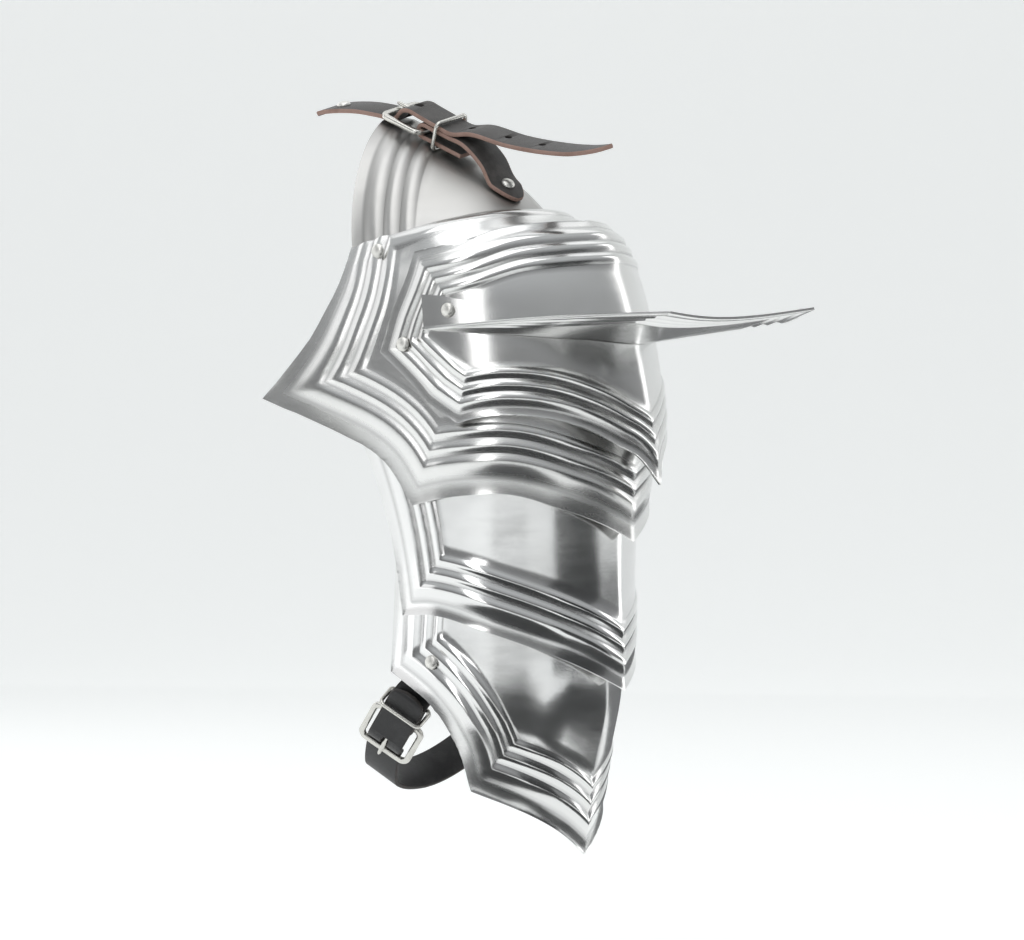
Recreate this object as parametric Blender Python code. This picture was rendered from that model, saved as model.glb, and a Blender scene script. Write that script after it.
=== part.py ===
"""Left pauldron of polished steel plates, with its shoulder strap and arm strap.

+X points outwards from the neck, -Y to the front and +Z up. The origin is where the
underside of the cap rests on top of the shoulder. Sizes are in millimetres until a
mesh is made. The back half of each plate mirrors its front half.
"""
import math

import bmesh
import bpy
import numpy as np
from mathutils import Vector
from mathutils.bvhtree import BVHTree

for old in list(bpy.data.objects):
    bpy.data.objects.remove(old)

MM = 0.001

# Main sizes of the plates
REACH = 74.0  # widest reach of the wing plate's crease from the arm's axis
HALF = 70.5  # half of the wing plate's width from front to back
DROP = 334.0  # from the seat down to the lowest tip
SHEET = 1.2  # thickness of a steel plate
GAP = 0.3  # play between pieces that touch
KEEL = 5.0  # how far the crease stands out from a round section
CAP_KEEL = 14.0
RIDGE = 1.2  # height of a pressed ridge
GUARD_OFFSET = 4.6  # guard plate outside the wing plate
UPPER_LAME_OFFSET = 4.6  # upper lame inside the wing plate
LOWER_LAME_OFFSET = 9.2  # lower lame inside the wing plate
GUARD_KICK = 12.5  # how far the tip of each plate kicks out
WING_KICK = 3.0
UPPER_LAME_KICK = 4.5

# Distances of the three pressed ridges from a plate's edge
CAP_RIDGES = (12.5, 20.5, 29.0)
WING_RIDGES = (16.0, 23.5, 31.0)
WING_TOP_RIDGES = (8.0, 16.0, 24.0)
WING_TOP_RIDGE = 6.5
GUARD_RIDGES = (8.5, 14.5, 20.5)
UPPER_LAME_RIDGES = (13.0, 20.0, 27.0)
LOWER_LAME_RIDGES = (13.5, 21.5, 28.5)

# Side flange
FLANGE_REACH = 175.5  # tip, from the arm's axis
FLANGE_STEP = 2.5  # width of its front and back ends
FLANGE_CORNER = 132.0  # front and back corners, from the arm's axis
FLANGE_HALF = 61.0  # half of the width between its corners
FLANGE_ROOT = 80.0  # depth of its root below the seat
UPSTAND = 16.0  # height of the riveted upstand
FLANGE_RIDGES = (8.0, 15.0, 22.0)
FLANGE_BAY = 8.0  # how far its outline is drawn in between a corner and the tip
FLANGE_ARCH = 1.3  # how far its front edge arches

# Rivets and straps
RIVET_HEAD = 3.5
RIVET_DOME = 2.0
LOW_DOME = 1.3
SHANK = 1.8
PEEN = 2.9
PEEN_RISE = 0.9
STRAP_WIDTH = 19.0
STRAP = 2.2  # thickness of the leather
STRAP_DROP = 0.12  # place of the shoulder strap in front of the crest, as a share of HALF
HINGE_SHARE = 0.5  # shoulder buckle's hinge bar, from the arm's axis towards the neck, in REACH
KEEPER_SHARE = 0.4  # keeper ring's place behind the hinge bar, in BUCKLE_LENGTH
KEEPER_LIFT = 9.175  # middle of the shoulder buckle over the cap at the keeper ring
SEAT_PLAY = 0.6  # more play where a flat leather or upstand lies on a round plate
BUCKLE_BAR = 1.6
TONGUE = 1.2
KEEPER_WIRE = 1.1
BUCKLE_LENGTH = 23.0
BUCKLE_WIDTH = 27.0
STRAP_HOLE = 1.9
LEATHER_WIDTH = 20.0
ARM_LOOP = 57.0  # how far the arm strap's loop reaches from its rivets towards the body
ARM_LOOP_DROP = 61.0  # and how far it hangs below them
ARM_SEAT_PLAY = 0.9
ARM_BUCKLE_DEPTH = 9.9  # arm buckle's hinge bar behind the front rivet
ARM_LEATHER_STEP = 5.6  # how far the front leather steps back to the buckle
FRAME_CORNER = 4.0
KEEPER_CORNER = 2.4
KEEPER_PLAY = 0.8  # between the keeper ring and the side of a strap
CUT_OVER = 8.0  # how far a hole's cutter reaches past its piece

# Sections of the sleeve that the plates follow. Columns: depth below the seat as a
# share of DROP, crease as a share of REACH, half width as a share of HALF, middle of
# the section as a share of REACH, flare of the flat wing beside the middle.
SLEEVE_ROWS = (
    (0.039, 0.135, 0.48, -0.405, 0.0),
    (0.046, 0.284, 0.58, -0.378, 0.0),
    (0.052, 0.365, 0.65, -0.351, 0.0),
    (0.063, 0.486, 0.74, -0.297, 0.0),
    (0.076, 0.608, 0.81, -0.230, 0.0),
    (0.093, 0.703, 0.87, -0.169, 0.0),
    (0.120, 0.784, 0.925, -0.095, 0.0),
    (0.156, 0.845, 0.96, -0.027, 0.04),
    (0.210, 0.912, 0.986, 0.013, 0.10),
    (0.284, 0.973, 1.0, 0.054, 0.15),
    (0.374, 0.993, 1.0, 0.068, 0.15),
    (0.464, 0.966, 0.986, 0.068, 0.04),
    (0.554, 0.946, 0.965, 0.040, -0.06),
    (0.659, 0.939, 0.95, 0.0, -0.10),
    (0.763, 0.919, 0.95, -0.040, -0.14),
    (0.883, 0.797, 0.936, -0.080, -0.14),
    (1.040, 0.715, 0.908, -0.095, -0.14),
)

# Sections of the cap, from its neck edge to its hidden outer edge. Columns: reach of
# the crest as a share of REACH, its height, the sideways and the downward fall of the
# section as shares of REACH and DROP, and the half width as a share of HALF.
CAP_ROWS = (
    (-0.892, 0.1033, 0.270, -0.2695, 0.887),
    (-0.608, 0.0750, 0.100, -0.2420, 0.870),
    (-0.311, 0.0390, 0.000, -0.2150, 0.848),
    (0.034, -0.0025, -0.080, -0.1850, 0.805),
    (0.284, -0.0530, -0.150, -0.1420, 0.725),
    (0.486, -0.1010, -0.200, -0.0980, 0.620),
    (0.630, -0.1480, -0.210, -0.0560, 0.500),
)

# Top and bottom edges. Columns: girth, which is 0 at the crease and 1 where the
# section turns into the flat wing, and depth as a share of DROP.
WING_TOP = ((0, 0.0475), (0.28, 0.0487), (0.5, 0.053), (0.75, 0.064), (1, 0.078),
            (1.25, 0.0905), (1.53, 0.1055))
WING_BOTTOM = ((0, 0.535), (0.16, 0.512), (0.37, 0.488), (0.65, 0.464), (0.84, 0.466),
               (1.18, 0.481))
GUARD_TOP = ((0, 0.078), (0.3, 0.082), (0.53, 0.089), (0.75, 0.106), (1.0, 0.118))
GUARD_BOTTOM = ((0, 0.451), (0.06, 0.421), (0.2, 0.391), (0.4, 0.362), (0.57, 0.351),
                (0.755, 0.353), (0.87, 0.362))
UPPER_LAME_TOP = ((0, 0.389), (1.0, 0.383), (1.5, 0.380))
UPPER_LAME_BOTTOM = ((0, 0.754), (0.335, 0.708), (0.69, 0.668), (1.0, 0.642), (1.27, 0.643))
LOWER_LAME_TOP = ((0, 0.527), (1.0, 0.524), (1.5, 0.521))
LOWER_LAME_BOTTOM = ((0, 1.0), (0.22, 0.961), (0.39, 0.937), (0.555, 0.918), (0.695, 0.904))

# Front edges, from the top down. Columns: position along X as a share of REACH, and
# depth as a share of DROP. The plates with a point have two stretches.
WING_FRONT = (((-0.662, 0.1055), (-0.74, 0.180), (-0.85, 0.232), (-1.19, 0.326)),
              ((-1.19, 0.326), (-0.80, 0.360), (-0.50, 0.389), (-0.11, 0.481)))
GUARD_FRONT = (((-0.10, 0.118), (-0.20, 0.185), (-0.31, 0.260)),
               ((-0.31, 0.260), (-0.05, 0.309), (0.27, 0.362)))
UPPER_LAME_FRONT = (((-0.51, 0.383), (-0.33, 0.548), (-0.27, 0.643)),)
LOWER_LAME_FRONT = (((-0.35, 0.524), (-0.38, 0.600), (-0.432, 0.726)),
                    ((-0.432, 0.726), (-0.10, 0.770), (0.13, 0.826), (0.265, 0.904)))

# Rings of a ridged edge: place on the ridge scale, where 1, 2 and 3 are the ridges, and
# height as a share of RIDGE
RINGS = ((0.0, 0.3), (1.0, 1.0), (1.5, 0.1), (2.0, 1.0), (2.5, 0.1), (3.0, 1.0), (3.4, 0.0))
PLAIN = 4.0


def smooth(stations, values, at):
    """Cubic through the values at the stations, straight beyond both ends."""
    stations = np.asarray(stations, float)
    values = np.asarray(values, float)
    at = np.asarray(at, float)
    slopes = np.gradient(values, stations)
    cell = np.clip(np.searchsorted(stations, at, side="right") - 1, 0, len(stations) - 2)
    width = stations[cell + 1] - stations[cell]
    part = np.clip((at - stations[cell]) / width, 0.0, 1.0)
    start, end = values[cell], values[cell + 1]
    rise, fall = slopes[cell] * width, slopes[cell + 1] * width
    curve = (start * (1 + 2 * part) * (1 - part) ** 2 + end * part ** 2 * (3 - 2 * part)
             + rise * part * (1 - part) ** 2 - fall * part ** 2 * (1 - part))
    curve = curve + np.minimum(at - stations[0], 0.0) * slopes[0]
    return curve + np.maximum(at - stations[-1], 0.0) * slopes[-1]


class Sleeve:
    """Smooth surface through the sections, addressed by girth and by run along its crease."""

    def __init__(self, crease, fall, half, flare, keel):
        self.crease = np.asarray(crease, float)
        self.fall = np.asarray(fall, float)
        self.half = np.asarray(half, float)
        self.flare = np.asarray(flare, float)
        self.keel = keel
        steps = np.linalg.norm(np.diff(self.crease, axis=0), axis=1)
        self.runs = np.concatenate(([0.0], np.cumsum(steps)))

    def run_at(self, height):
        """Run along the crease at a height."""
        fine = np.linspace(self.runs[0], self.runs[-1], 400)
        return np.interp(-np.asarray(height), -smooth(self.runs, self.crease[:, 1], fine), fine)

    def girth_at(self, reach, run):
        """Girth of the point of a level section that has this reach."""
        crease = smooth(self.runs, self.crease[:, 0], run)
        fall = smooth(self.runs, self.fall[:, 0], run)
        middle = crease + fall
        round_part = np.arccos(np.clip((reach - middle) / -fall, 0.0, 1.0)) / (math.pi / 2)
        return np.where(reach > middle, round_part, 1 + (middle - reach) / REACH)

    def point(self, girth, run):
        """Points of the front half, where a negative girth is behind the crease."""
        girth, run = np.broadcast_arrays(np.asarray(girth, float), np.asarray(run, float))
        side = np.where(girth < 0, 1.0, -1.0)
        girth = np.abs(girth)
        turn = np.minimum(girth, 1.0) * math.pi / 2
        leg = np.maximum(girth - 1.0, 0.0) * REACH
        crease_x = smooth(self.runs, self.crease[:, 0], run)
        crease_z = smooth(self.runs, self.crease[:, 1], run)
        fall_x = smooth(self.runs, self.fall[:, 0], run)
        fall_z = smooth(self.runs, self.fall[:, 1], run)
        half = smooth(self.runs, self.half, run)
        flare = smooth(self.runs, self.flare, run)
        length = np.hypot(fall_x, fall_z)
        along = (length - self.keel) * (1 - np.cos(turn)) + self.keel * np.sin(turn) + leg
        depth = half * np.sin(turn) + flare * leg ** 2 / (leg + 15.0)
        return np.stack((crease_x + along * fall_x / length, side * depth,
                         crease_z + along * fall_z / length), axis=-1)

    def normal(self, girth, run):
        """Outward unit normals, lengthened on the crease so that both halves keep the wall."""
        girth, run = np.broadcast_arrays(np.asarray(girth, float), np.asarray(run, float))
        step = 0.004
        low = np.where(girth < step, girth, girth - step)
        across = self.point(girth + step, run) - self.point(low, run)
        down = self.point(girth, run + 0.4) - self.point(girth, run - 0.4)
        normal = np.cross(across, down)
        normal /= np.linalg.norm(normal, axis=-1, keepdims=True)
        on_crease = girth < 1e-6
        flat = np.hypot(normal[..., 0], normal[..., 2])
        scale = np.where(on_crease, 1 / np.maximum(flat, 0.5) ** 2, 1.0)
        normal[..., 1] = np.where(on_crease, 0.0, normal[..., 1])
        return normal * scale[..., None]


def sleeve_of_body():
    """The sleeve that the wing plate lies on."""
    rows = np.array(SLEEVE_ROWS)
    crease = np.stack((rows[:, 1] * REACH, -rows[:, 0] * DROP), axis=1)
    fall = np.stack(((rows[:, 3] - rows[:, 1]) * REACH, np.zeros(len(rows))), axis=1)
    return Sleeve(crease, fall, rows[:, 2] * HALF, rows[:, 4], KEEL)


def sleeve_of_cap():
    """The dome of the cap, whose crest is its crease."""
    rows = np.array(CAP_ROWS)
    crease = np.stack((rows[:, 0] * REACH, rows[:, 1] * DROP), axis=1)
    fall = np.stack((rows[:, 2] * REACH, rows[:, 3] * DROP), axis=1)
    return Sleeve(crease, fall, rows[:, 4] * HALF, np.zeros(len(rows)), CAP_KEEL)


def band(ridges):
    """Rings of a ridged edge: their places on the ridge scale and their distances."""
    last = 2 * ridges[2] - ridges[1]
    places = np.array([ring[0] for ring in RINGS])
    return places, np.interp(places, (0, 1, 2, 3, 4), (0.0, *ridges, last))


def last_ridge_band(distance):
    """Rings of an edge that only the third ridge follows."""
    places = np.array([ring[0] for ring in RINGS if ring[0] >= 2.5])
    return places, np.interp(places, (2.5, 3.0, 3.4), (0.0, distance, 1.5 * distance))


PLAIN_BAND = (np.array([PLAIN]), np.array([0.0]))


def nearest(points, line):
    """Distance of each point from the nearest point of a finely divided line."""
    flat = points.reshape(-1, 3)
    best = np.full(len(flat), np.inf)
    for chunk in np.array_split(line, max(1, len(line) // 40)):
        gaps = np.linalg.norm(flat[:, None, :] - chunk[None, :, :], axis=2).min(axis=1)
        best = np.minimum(best, gaps)
    return best.reshape(points.shape[:-1])


class Plate:
    """Grid of one plate's front half, with rings that run parallel to its edges."""

    def __init__(self, sleeve, top, bottom, front, bands, counts):
        self.sleeve = sleeve
        self.top, self.bottom = top, bottom
        self.front = front
        self.top_band, self.bottom_band, self.front_bands = bands
        self.middle_rows, self.middle_columns = counts
        widest = max(part[0].max() for part in front)
        self.girths = np.linspace(0.0, widest + 0.2, 130)
        self.build()

    def front_girth(self, part, run):
        """Girth of one stretch of the front edge at a run."""
        girths, runs = part
        return smooth(runs, girths, run)

    def front_distance(self, girth, run):
        """Signed distance inside the front edge."""
        distance = None
        points = self.sleeve.point(girth, run)
        for part in self.front:
            span = part[1][-1] - part[1][0]
            line_runs = np.linspace(part[1][0] - 0.6 * span, part[1][-1] + 0.6 * span, 260)
            line = self.sleeve.point(self.front_girth(part, line_runs), line_runs)
            inside = np.sign(self.front_girth(part, run) - girth)
            reach = inside * nearest(points, line)
            distance = reach if distance is None else np.minimum(distance, reach)
        return distance

    def offset_rows(self, edge, distances, way):
        """Runs of the lines that keep these distances from the top or bottom edge."""
        wide = np.linspace(-0.25, self.girths[-1] + 0.2, 300)
        line = self.sleeve.point(wide, edge(np.abs(wide)))
        steps = np.linspace(0.0, 2.2 * distances[-1] + 1.0, 60)
        runs = edge(self.girths)[:, None] + way * steps[None, :]
        gaps = nearest(self.sleeve.point(self.girths[:, None], runs), line)
        moved = [[np.interp(d, np.maximum.accumulate(gap), steps) for d in distances] for gap in gaps]
        return edge(self.girths)[:, None] + way * np.array(moved)

    def corner_share(self, upper, lower):
        """Share of the way from the upper to the lower row where the front's point lies."""
        if len(self.front) == 1:
            return np.full(len(self.girths), 0.5)
        shares = np.linspace(-0.1, 1.1, 60)
        runs = upper[:, None] + (lower - upper)[:, None] * shares[None, :]
        points = self.sleeve.point(self.girths[:, None], runs)
        gaps = []
        for part in self.front:
            span = part[1][-1] - part[1][0]
            line_runs = np.linspace(part[1][0] - 0.6 * span, part[1][-1] + 0.6 * span, 260)
            line = self.sleeve.point(self.front_girth(part, line_runs), line_runs)
            inside = np.sign(self.front_girth(part, runs) - self.girths[:, None])
            gaps.append(inside * nearest(points, line))
        balance = gaps[0] - gaps[1]
        found = np.array([np.interp(0.0, row, shares) for row in balance])
        point_girth = self.front[0][0][-1]
        inner = point_girth - 1.5 * self.front_bands[1][1][-1] / REACH
        at_inner = np.interp(inner, self.girths, found)
        part = np.clip(self.girths / inner, 0.0, 1.0)
        return np.where(self.girths < inner, 0.5 + (at_inner - 0.5) * part, found)

    def build(self):
        """Work out the girth, run and ridge place of every node."""
        top_rows = self.offset_rows(self.top, self.top_band[1], 1)
        bottom_rows = self.offset_rows(self.bottom, self.bottom_band[1], -1)
        upper, lower = top_rows[:, -1], bottom_rows[:, -1]
        share = self.corner_share(upper, lower)
        above, below = self.middle_rows
        rows, places, mixes = [], [], []
        for index, place in enumerate(self.top_band[0]):
            rows.append(top_rows[:, index])
            places.append(place)
            mixes.append(0.0)
        inner_shares = [(k / above, 0) for k in range(1, above + 1)]
        inner_shares += [(1, k / below) for k in range(1, below)]
        for first, second in inner_shares:
            rows.append(upper + (lower - upper) * (share * first + (1 - share) * second))
            places.append(PLAIN)
            mixes.append(first + second)
        for index in reversed(range(len(self.bottom_band[0]))):
            rows.append(bottom_rows[:, index])
            places.append(self.bottom_band[0][index])
            mixes.append(2.0)
        ring_places = self.front_bands[0][0]
        girth, run, place = [], [], []
        for row, row_place, mix in zip(rows, places, mixes):
            distance = self.front_distance(self.girths, row)
            keep = self.girths > 0.2
            rings = [np.interp(mix, (0, 1, 2), [b[1][k] for b in self.front_bands])
                     for k in range(len(ring_places))]
            cuts = np.interp(rings, distance[keep][::-1], self.girths[keep][::-1])
            inner = np.linspace(0.0, cuts[-1], self.middle_columns + 1)[:-1]
            row_girth = np.concatenate((inner, cuts[::-1]))
            girth.append(row_girth)
            run.append(np.interp(row_girth, self.girths, row))
            ring = np.concatenate((np.full(len(inner), PLAIN), ring_places[::-1]))
            place.append(np.minimum(ring, row_place))
        self.girth, self.run, self.place = np.array(girth), np.array(run), np.array(place)

    def wall(self, girth, run, offset, kick):
        """Points and normals at a distance off the sleeve, with the tip kicked out."""
        normals = self.sleeve.normal(girth, run)
        points = self.sleeve.point(girth, run) + normals * offset
        start, tip = self.run[0, 0], self.run[-1, 0]
        low = np.clip((run - start) / (tip - start), 0.0, 1.0)
        points[..., 0] += kick * low ** 3 * np.clip(1 - np.asarray(girth), 0.0, 1.0) ** 2
        return points, normals

    def surface(self, offset, kick):
        """Middle points and normals of the ridged plate."""
        points, normals = self.wall(self.girth, self.run, offset, kick)
        relief = np.interp(self.place, [ring[0] for ring in RINGS], [RIDGE * ring[1] for ring in RINGS])
        relief = np.where(self.place >= PLAIN, 0.0, relief)
        return points + normals * relief[..., None], normals


def mirrored(points):
    """Both halves of a grid whose first column is the crease."""
    back = points * np.array((1.0, -1.0, 1.0))
    return np.concatenate((points[:, :0:-1], back), axis=1)


def mirrored_places(places):
    """Ridge places of both halves."""
    return np.concatenate((places[:, :0:-1], places), axis=1)


def split(index, places):
    """Two triangles of a grid cell, folded along the mitre where ridges turn a corner."""
    a, b, c, d = index
    levels = [places[a], places[b], places[c], places[d]]
    odd = [k for k in range(4) if sum(abs(levels[k] - other) < 1e-6 for other in levels) == 1]
    if len(odd) == 1 and odd[0] in (1, 3):
        return (a, b, d), (b, c, d)
    return (a, b, c), (a, c, d)


def sheet_mesh(points, normals, places, thickness):
    """Vertices and faces of a closed sheet around a grid of middle points."""
    rows, columns = points.shape[:2]
    outer = (points + normals * thickness / 2).reshape(-1, 3)
    inner = (points - normals * thickness / 2).reshape(-1, 3)
    flat = places.reshape(-1)
    count = rows * columns
    faces = []
    for row in range(rows - 1):
        for column in range(columns - 1):
            corner = row * columns + column
            cell = (corner, corner + 1, corner + columns + 1, corner + columns)
            for face in split(cell, flat):
                faces.append(face)
                faces.append(tuple(count + k for k in reversed(face)))
    border = [column for column in range(columns)]
    border += [row * columns + columns - 1 for row in range(1, rows)]
    border += [(rows - 1) * columns + column for column in range(columns - 2, -1, -1)]
    border += [row * columns for row in range(rows - 2, 0, -1)]
    for here, after in zip(border, border[1:] + border[:1]):
        faces.append((after, here, count + here, count + after))
    return np.concatenate((outer, inner)), faces


TREES = {}
CUTTERS = {}


def material(name, color, roughness, metallic):
    """A plain shader."""
    shader = bpy.data.materials.new(name)
    shader.use_nodes = True
    surface = shader.node_tree.nodes["Principled BSDF"]
    surface.inputs["Base Color"].default_value = (*color, 1.0)
    surface.inputs["Roughness"].default_value = roughness
    surface.inputs["Metallic"].default_value = metallic
    return shader


STEEL = ((0.62, 0.62, 0.63), 0.18, 1.0)
NICKEL = ((0.68, 0.67, 0.64), 0.25, 1.0)
BLACK_LEATHER = ((0.03, 0.03, 0.032), 0.55, 0.0)


def add_object(name, vertices, faces, finish):
    """Make one closed mesh object from points in millimetres."""
    mesh = bpy.data.meshes.new(name)
    shape = bmesh.new()
    nodes = [shape.verts.new(Vector(point) * MM) for point in vertices]
    for face in faces:
        shape.faces.new([nodes[k] for k in face])
    bmesh.ops.recalc_face_normals(shape, faces=shape.faces)
    shape.to_mesh(mesh)
    TREES[name] = BVHTree.FromBMesh(shape)
    shape.free()
    item = bpy.data.objects.new(name, mesh)
    bpy.context.scene.collection.objects.link(item)
    mesh.materials.append(material(name, *finish))
    return item


def lathe(profile, base, axis, sides):
    """Vertices and faces of a closed turned shape; the profile holds radius and height."""
    axis = Vector(axis).normalized()
    side = axis.orthogonal().normalized()
    other = axis.cross(side)
    vertices, rings, faces = [], [], []
    for radius, height in profile:
        centre = Vector(base) + axis * height
        if radius == 0:
            rings.append([len(vertices)])
            vertices.append(centre)
            continue
        ring = []
        for k in range(sides):
            angle = 2 * math.pi * k / sides
            ring.append(len(vertices))
            vertices.append(centre + (side * math.cos(angle) + other * math.sin(angle)) * radius)
        rings.append(ring)
    for low, high in zip(rings, rings[1:]):
        for k in range(sides):
            after = (k + 1) % sides
            if len(low) == 1:
                faces.append((low[0], high[k], high[after]))
            elif len(high) == 1:
                faces.append((low[k], high[0], low[after]))
            else:
                faces.append((low[k], high[k], high[after], low[after]))
    return vertices, faces


def probe(name, centre, axis, radius, from_outside):
    """Furthest height along the axis that a piece's wall reaches within a radius."""
    axis = Vector(axis).normalized()
    side = axis.orthogonal().normalized()
    other = axis.cross(side)
    far = 60.0
    heights = []
    for ring in (0.0, 0.5, 1.0):
        for k in range(8):
            angle = 2 * math.pi * k / 8
            start = Vector(centre) + (side * math.cos(angle) + other * math.sin(angle)) * radius * ring
            way = -axis if from_outside else axis
            hit = TREES[name].ray_cast((start - way * far) * MM, way)
            if hit[0] is not None:
                heights.append((hit[0] / MM - Vector(centre)).dot(axis))
    if not heights:
        return None
    return max(heights) if from_outside else min(heights)


def cut(name, vertices, faces):
    """Keep a closed shape to be cut out of a piece."""
    known_vertices, known_faces = CUTTERS.setdefault(name, ([], []))
    base = len(known_vertices)
    known_vertices.extend(Vector(point) for point in vertices)
    known_faces.extend(tuple(base + k for k in face) for face in faces)


def rivet(name, centre, axis, outer, inner, dome, drilled):
    """A rivet from the outside of one piece to the inside of another, with its holes."""
    top = probe(outer, centre, axis, RIVET_HEAD, True) + GAP
    low = probe(inner, centre, axis, PEEN, False) - GAP
    profile = ((0, low - PEEN_RISE), (0.8 * PEEN, low - PEEN_RISE), (PEEN, low), (SHANK, low), (SHANK, top),
               (RIVET_HEAD, top), (0.7 * RIVET_HEAD, top + 0.8 * dome), (0, top + dome))
    add_object(name, *lathe(profile, centre, axis, 8), NICKEL)
    deep, high = low - CUT_OVER, top + CUT_OVER
    hole = ((0, deep), (SHANK + GAP, deep), (SHANK + GAP, high), (0, high))
    for piece in drilled:
        cut(piece, *lathe(hole, centre, axis, 8))


def apply_cutters():
    """Give each drilled piece one Boolean with all its holes."""
    for name, (vertices, faces) in CUTTERS.items():
        cutter = add_object(name + "_holes", vertices, faces, NICKEL)
        cutter.hide_render = True
        cutter.display_type = "WIRE"
        boolean = bpy.data.objects[name].modifiers.new("holes", "BOOLEAN")
        boolean.operation = "DIFFERENCE"
        boolean.object = cutter


def unit(vectors):
    """Vectors of length one."""
    return vectors / np.linalg.norm(vectors, axis=-1, keepdims=True)


def ribbon(name, path, across, widths, thickness, finish):
    """A strap of leather along a path, whose width lies along the across vectors."""
    path = np.asarray(path, float)
    across = unit(np.broadcast_to(np.asarray(across, float), path.shape))
    along = unit(np.gradient(path, axis=0))
    up = unit(np.cross(across, along))
    half = np.asarray(widths, float)[:, None] / 2
    rings = [path - across * half - up * thickness / 2, path + across * half - up * thickness / 2,
             path + across * half + up * thickness / 2, path - across * half + up * thickness / 2]
    vertices = np.stack(rings, axis=1).reshape(-1, 3)
    faces = []
    for k in range(len(path) - 1):
        for side in range(4):
            after = (side + 1) % 4
            faces.append((4 * k + side, 4 * k + after, 4 * k + 4 + after, 4 * k + 4 + side))
    faces.append((0, 1, 2, 3))
    last = 4 * (len(path) - 1)
    faces.append((last + 3, last + 2, last + 1, last))
    return add_object(name, vertices, faces, finish)


def wire_ring(name, centre, first, second, length, width, wire, corner, finish):
    """A round wire bent to a closed rounded rectangle in the plane of two directions."""
    first, second = Vector(first).normalized(), Vector(second).normalized()
    up = first.cross(second)
    path = []
    for quarter in range(4):
        centre_a = (length / 2 - corner) * (1 if quarter in (0, 3) else -1)
        centre_b = (width / 2 - corner) * (1 if quarter in (0, 1) else -1)
        for k in range(3):
            angle = math.pi / 2 * (quarter + k / 2)
            out = first * math.cos(angle) + second * math.sin(angle)
            path.append((Vector(centre) + first * centre_a + second * centre_b + out * corner, out))
    vertices, faces = [], []
    sides = 6
    for point, out in path:
        for k in range(sides):
            angle = 2 * math.pi * k / sides
            vertices.append(point + (out * math.cos(angle) + up * math.sin(angle)) * wire)
    count = len(path)
    for ring in range(count):
        for k in range(sides):
            after, beyond = (k + 1) % sides, (ring + 1) % count
            faces.append((ring * sides + k, ring * sides + after, beyond * sides + after, beyond * sides + k))
    return add_object(name, vertices, faces, finish)


def rod(name, path, radius, side, finish):
    """A round rod along a path that stays square to one side direction."""
    path = np.asarray(path, float)
    along = unit(np.gradient(path, axis=0))
    side = np.broadcast_to(unit(np.asarray(side, float)), path.shape)
    up = unit(np.cross(side, along))
    sides = 6
    angles = 2 * math.pi * np.arange(sides) / sides
    rings = path[:, None, :] + radius * (np.cos(angles)[None, :, None] * side[:, None, :]
                                         + np.sin(angles)[None, :, None] * up[:, None, :])
    vertices = rings.reshape(-1, 3)
    faces = []
    for ring in range(len(path) - 1):
        for k in range(sides):
            after = (k + 1) % sides
            base = ring * sides
            faces.append((base + k, base + after, base + sides + after, base + sides + k))
    faces.append(tuple(range(sides)))
    last = (len(path) - 1) * sides
    faces.append(tuple(last + k for k in reversed(range(sides))))
    return add_object(name, vertices, faces, finish)


# Plates
BODY = sleeve_of_body()
CAP = sleeve_of_cap()


def level_edge(sleeve, rows):
    """Run of a top or bottom edge as a function of girth."""
    girths = [row[0] for row in rows]
    runs = sleeve.run_at([-row[1] * DROP for row in rows])
    return lambda girth: smooth(girths, runs, girth)


def front_edge(sleeve, parts):
    """Girth and run of each stretch of a front edge."""
    stretches = []
    for rows in parts:
        runs = sleeve.run_at([-row[1] * DROP for row in rows])
        girths = sleeve.girth_at(np.array([row[0] for row in rows]) * REACH, runs)
        stretches.append((girths, runs))
    return stretches


def add_plate(name, plate, offset, kick):
    """Make both halves of a plate."""
    points, normals = plate.surface(offset, kick)
    back = np.array((1.0, -1.0, 1.0))
    both_normals = np.concatenate((normals[:, :0:-1], normals * back), axis=1)
    vertices, faces = sheet_mesh(mirrored(points), both_normals, mirrored_places(plate.place), SHEET)
    add_object(name, vertices, faces, STEEL)


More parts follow.
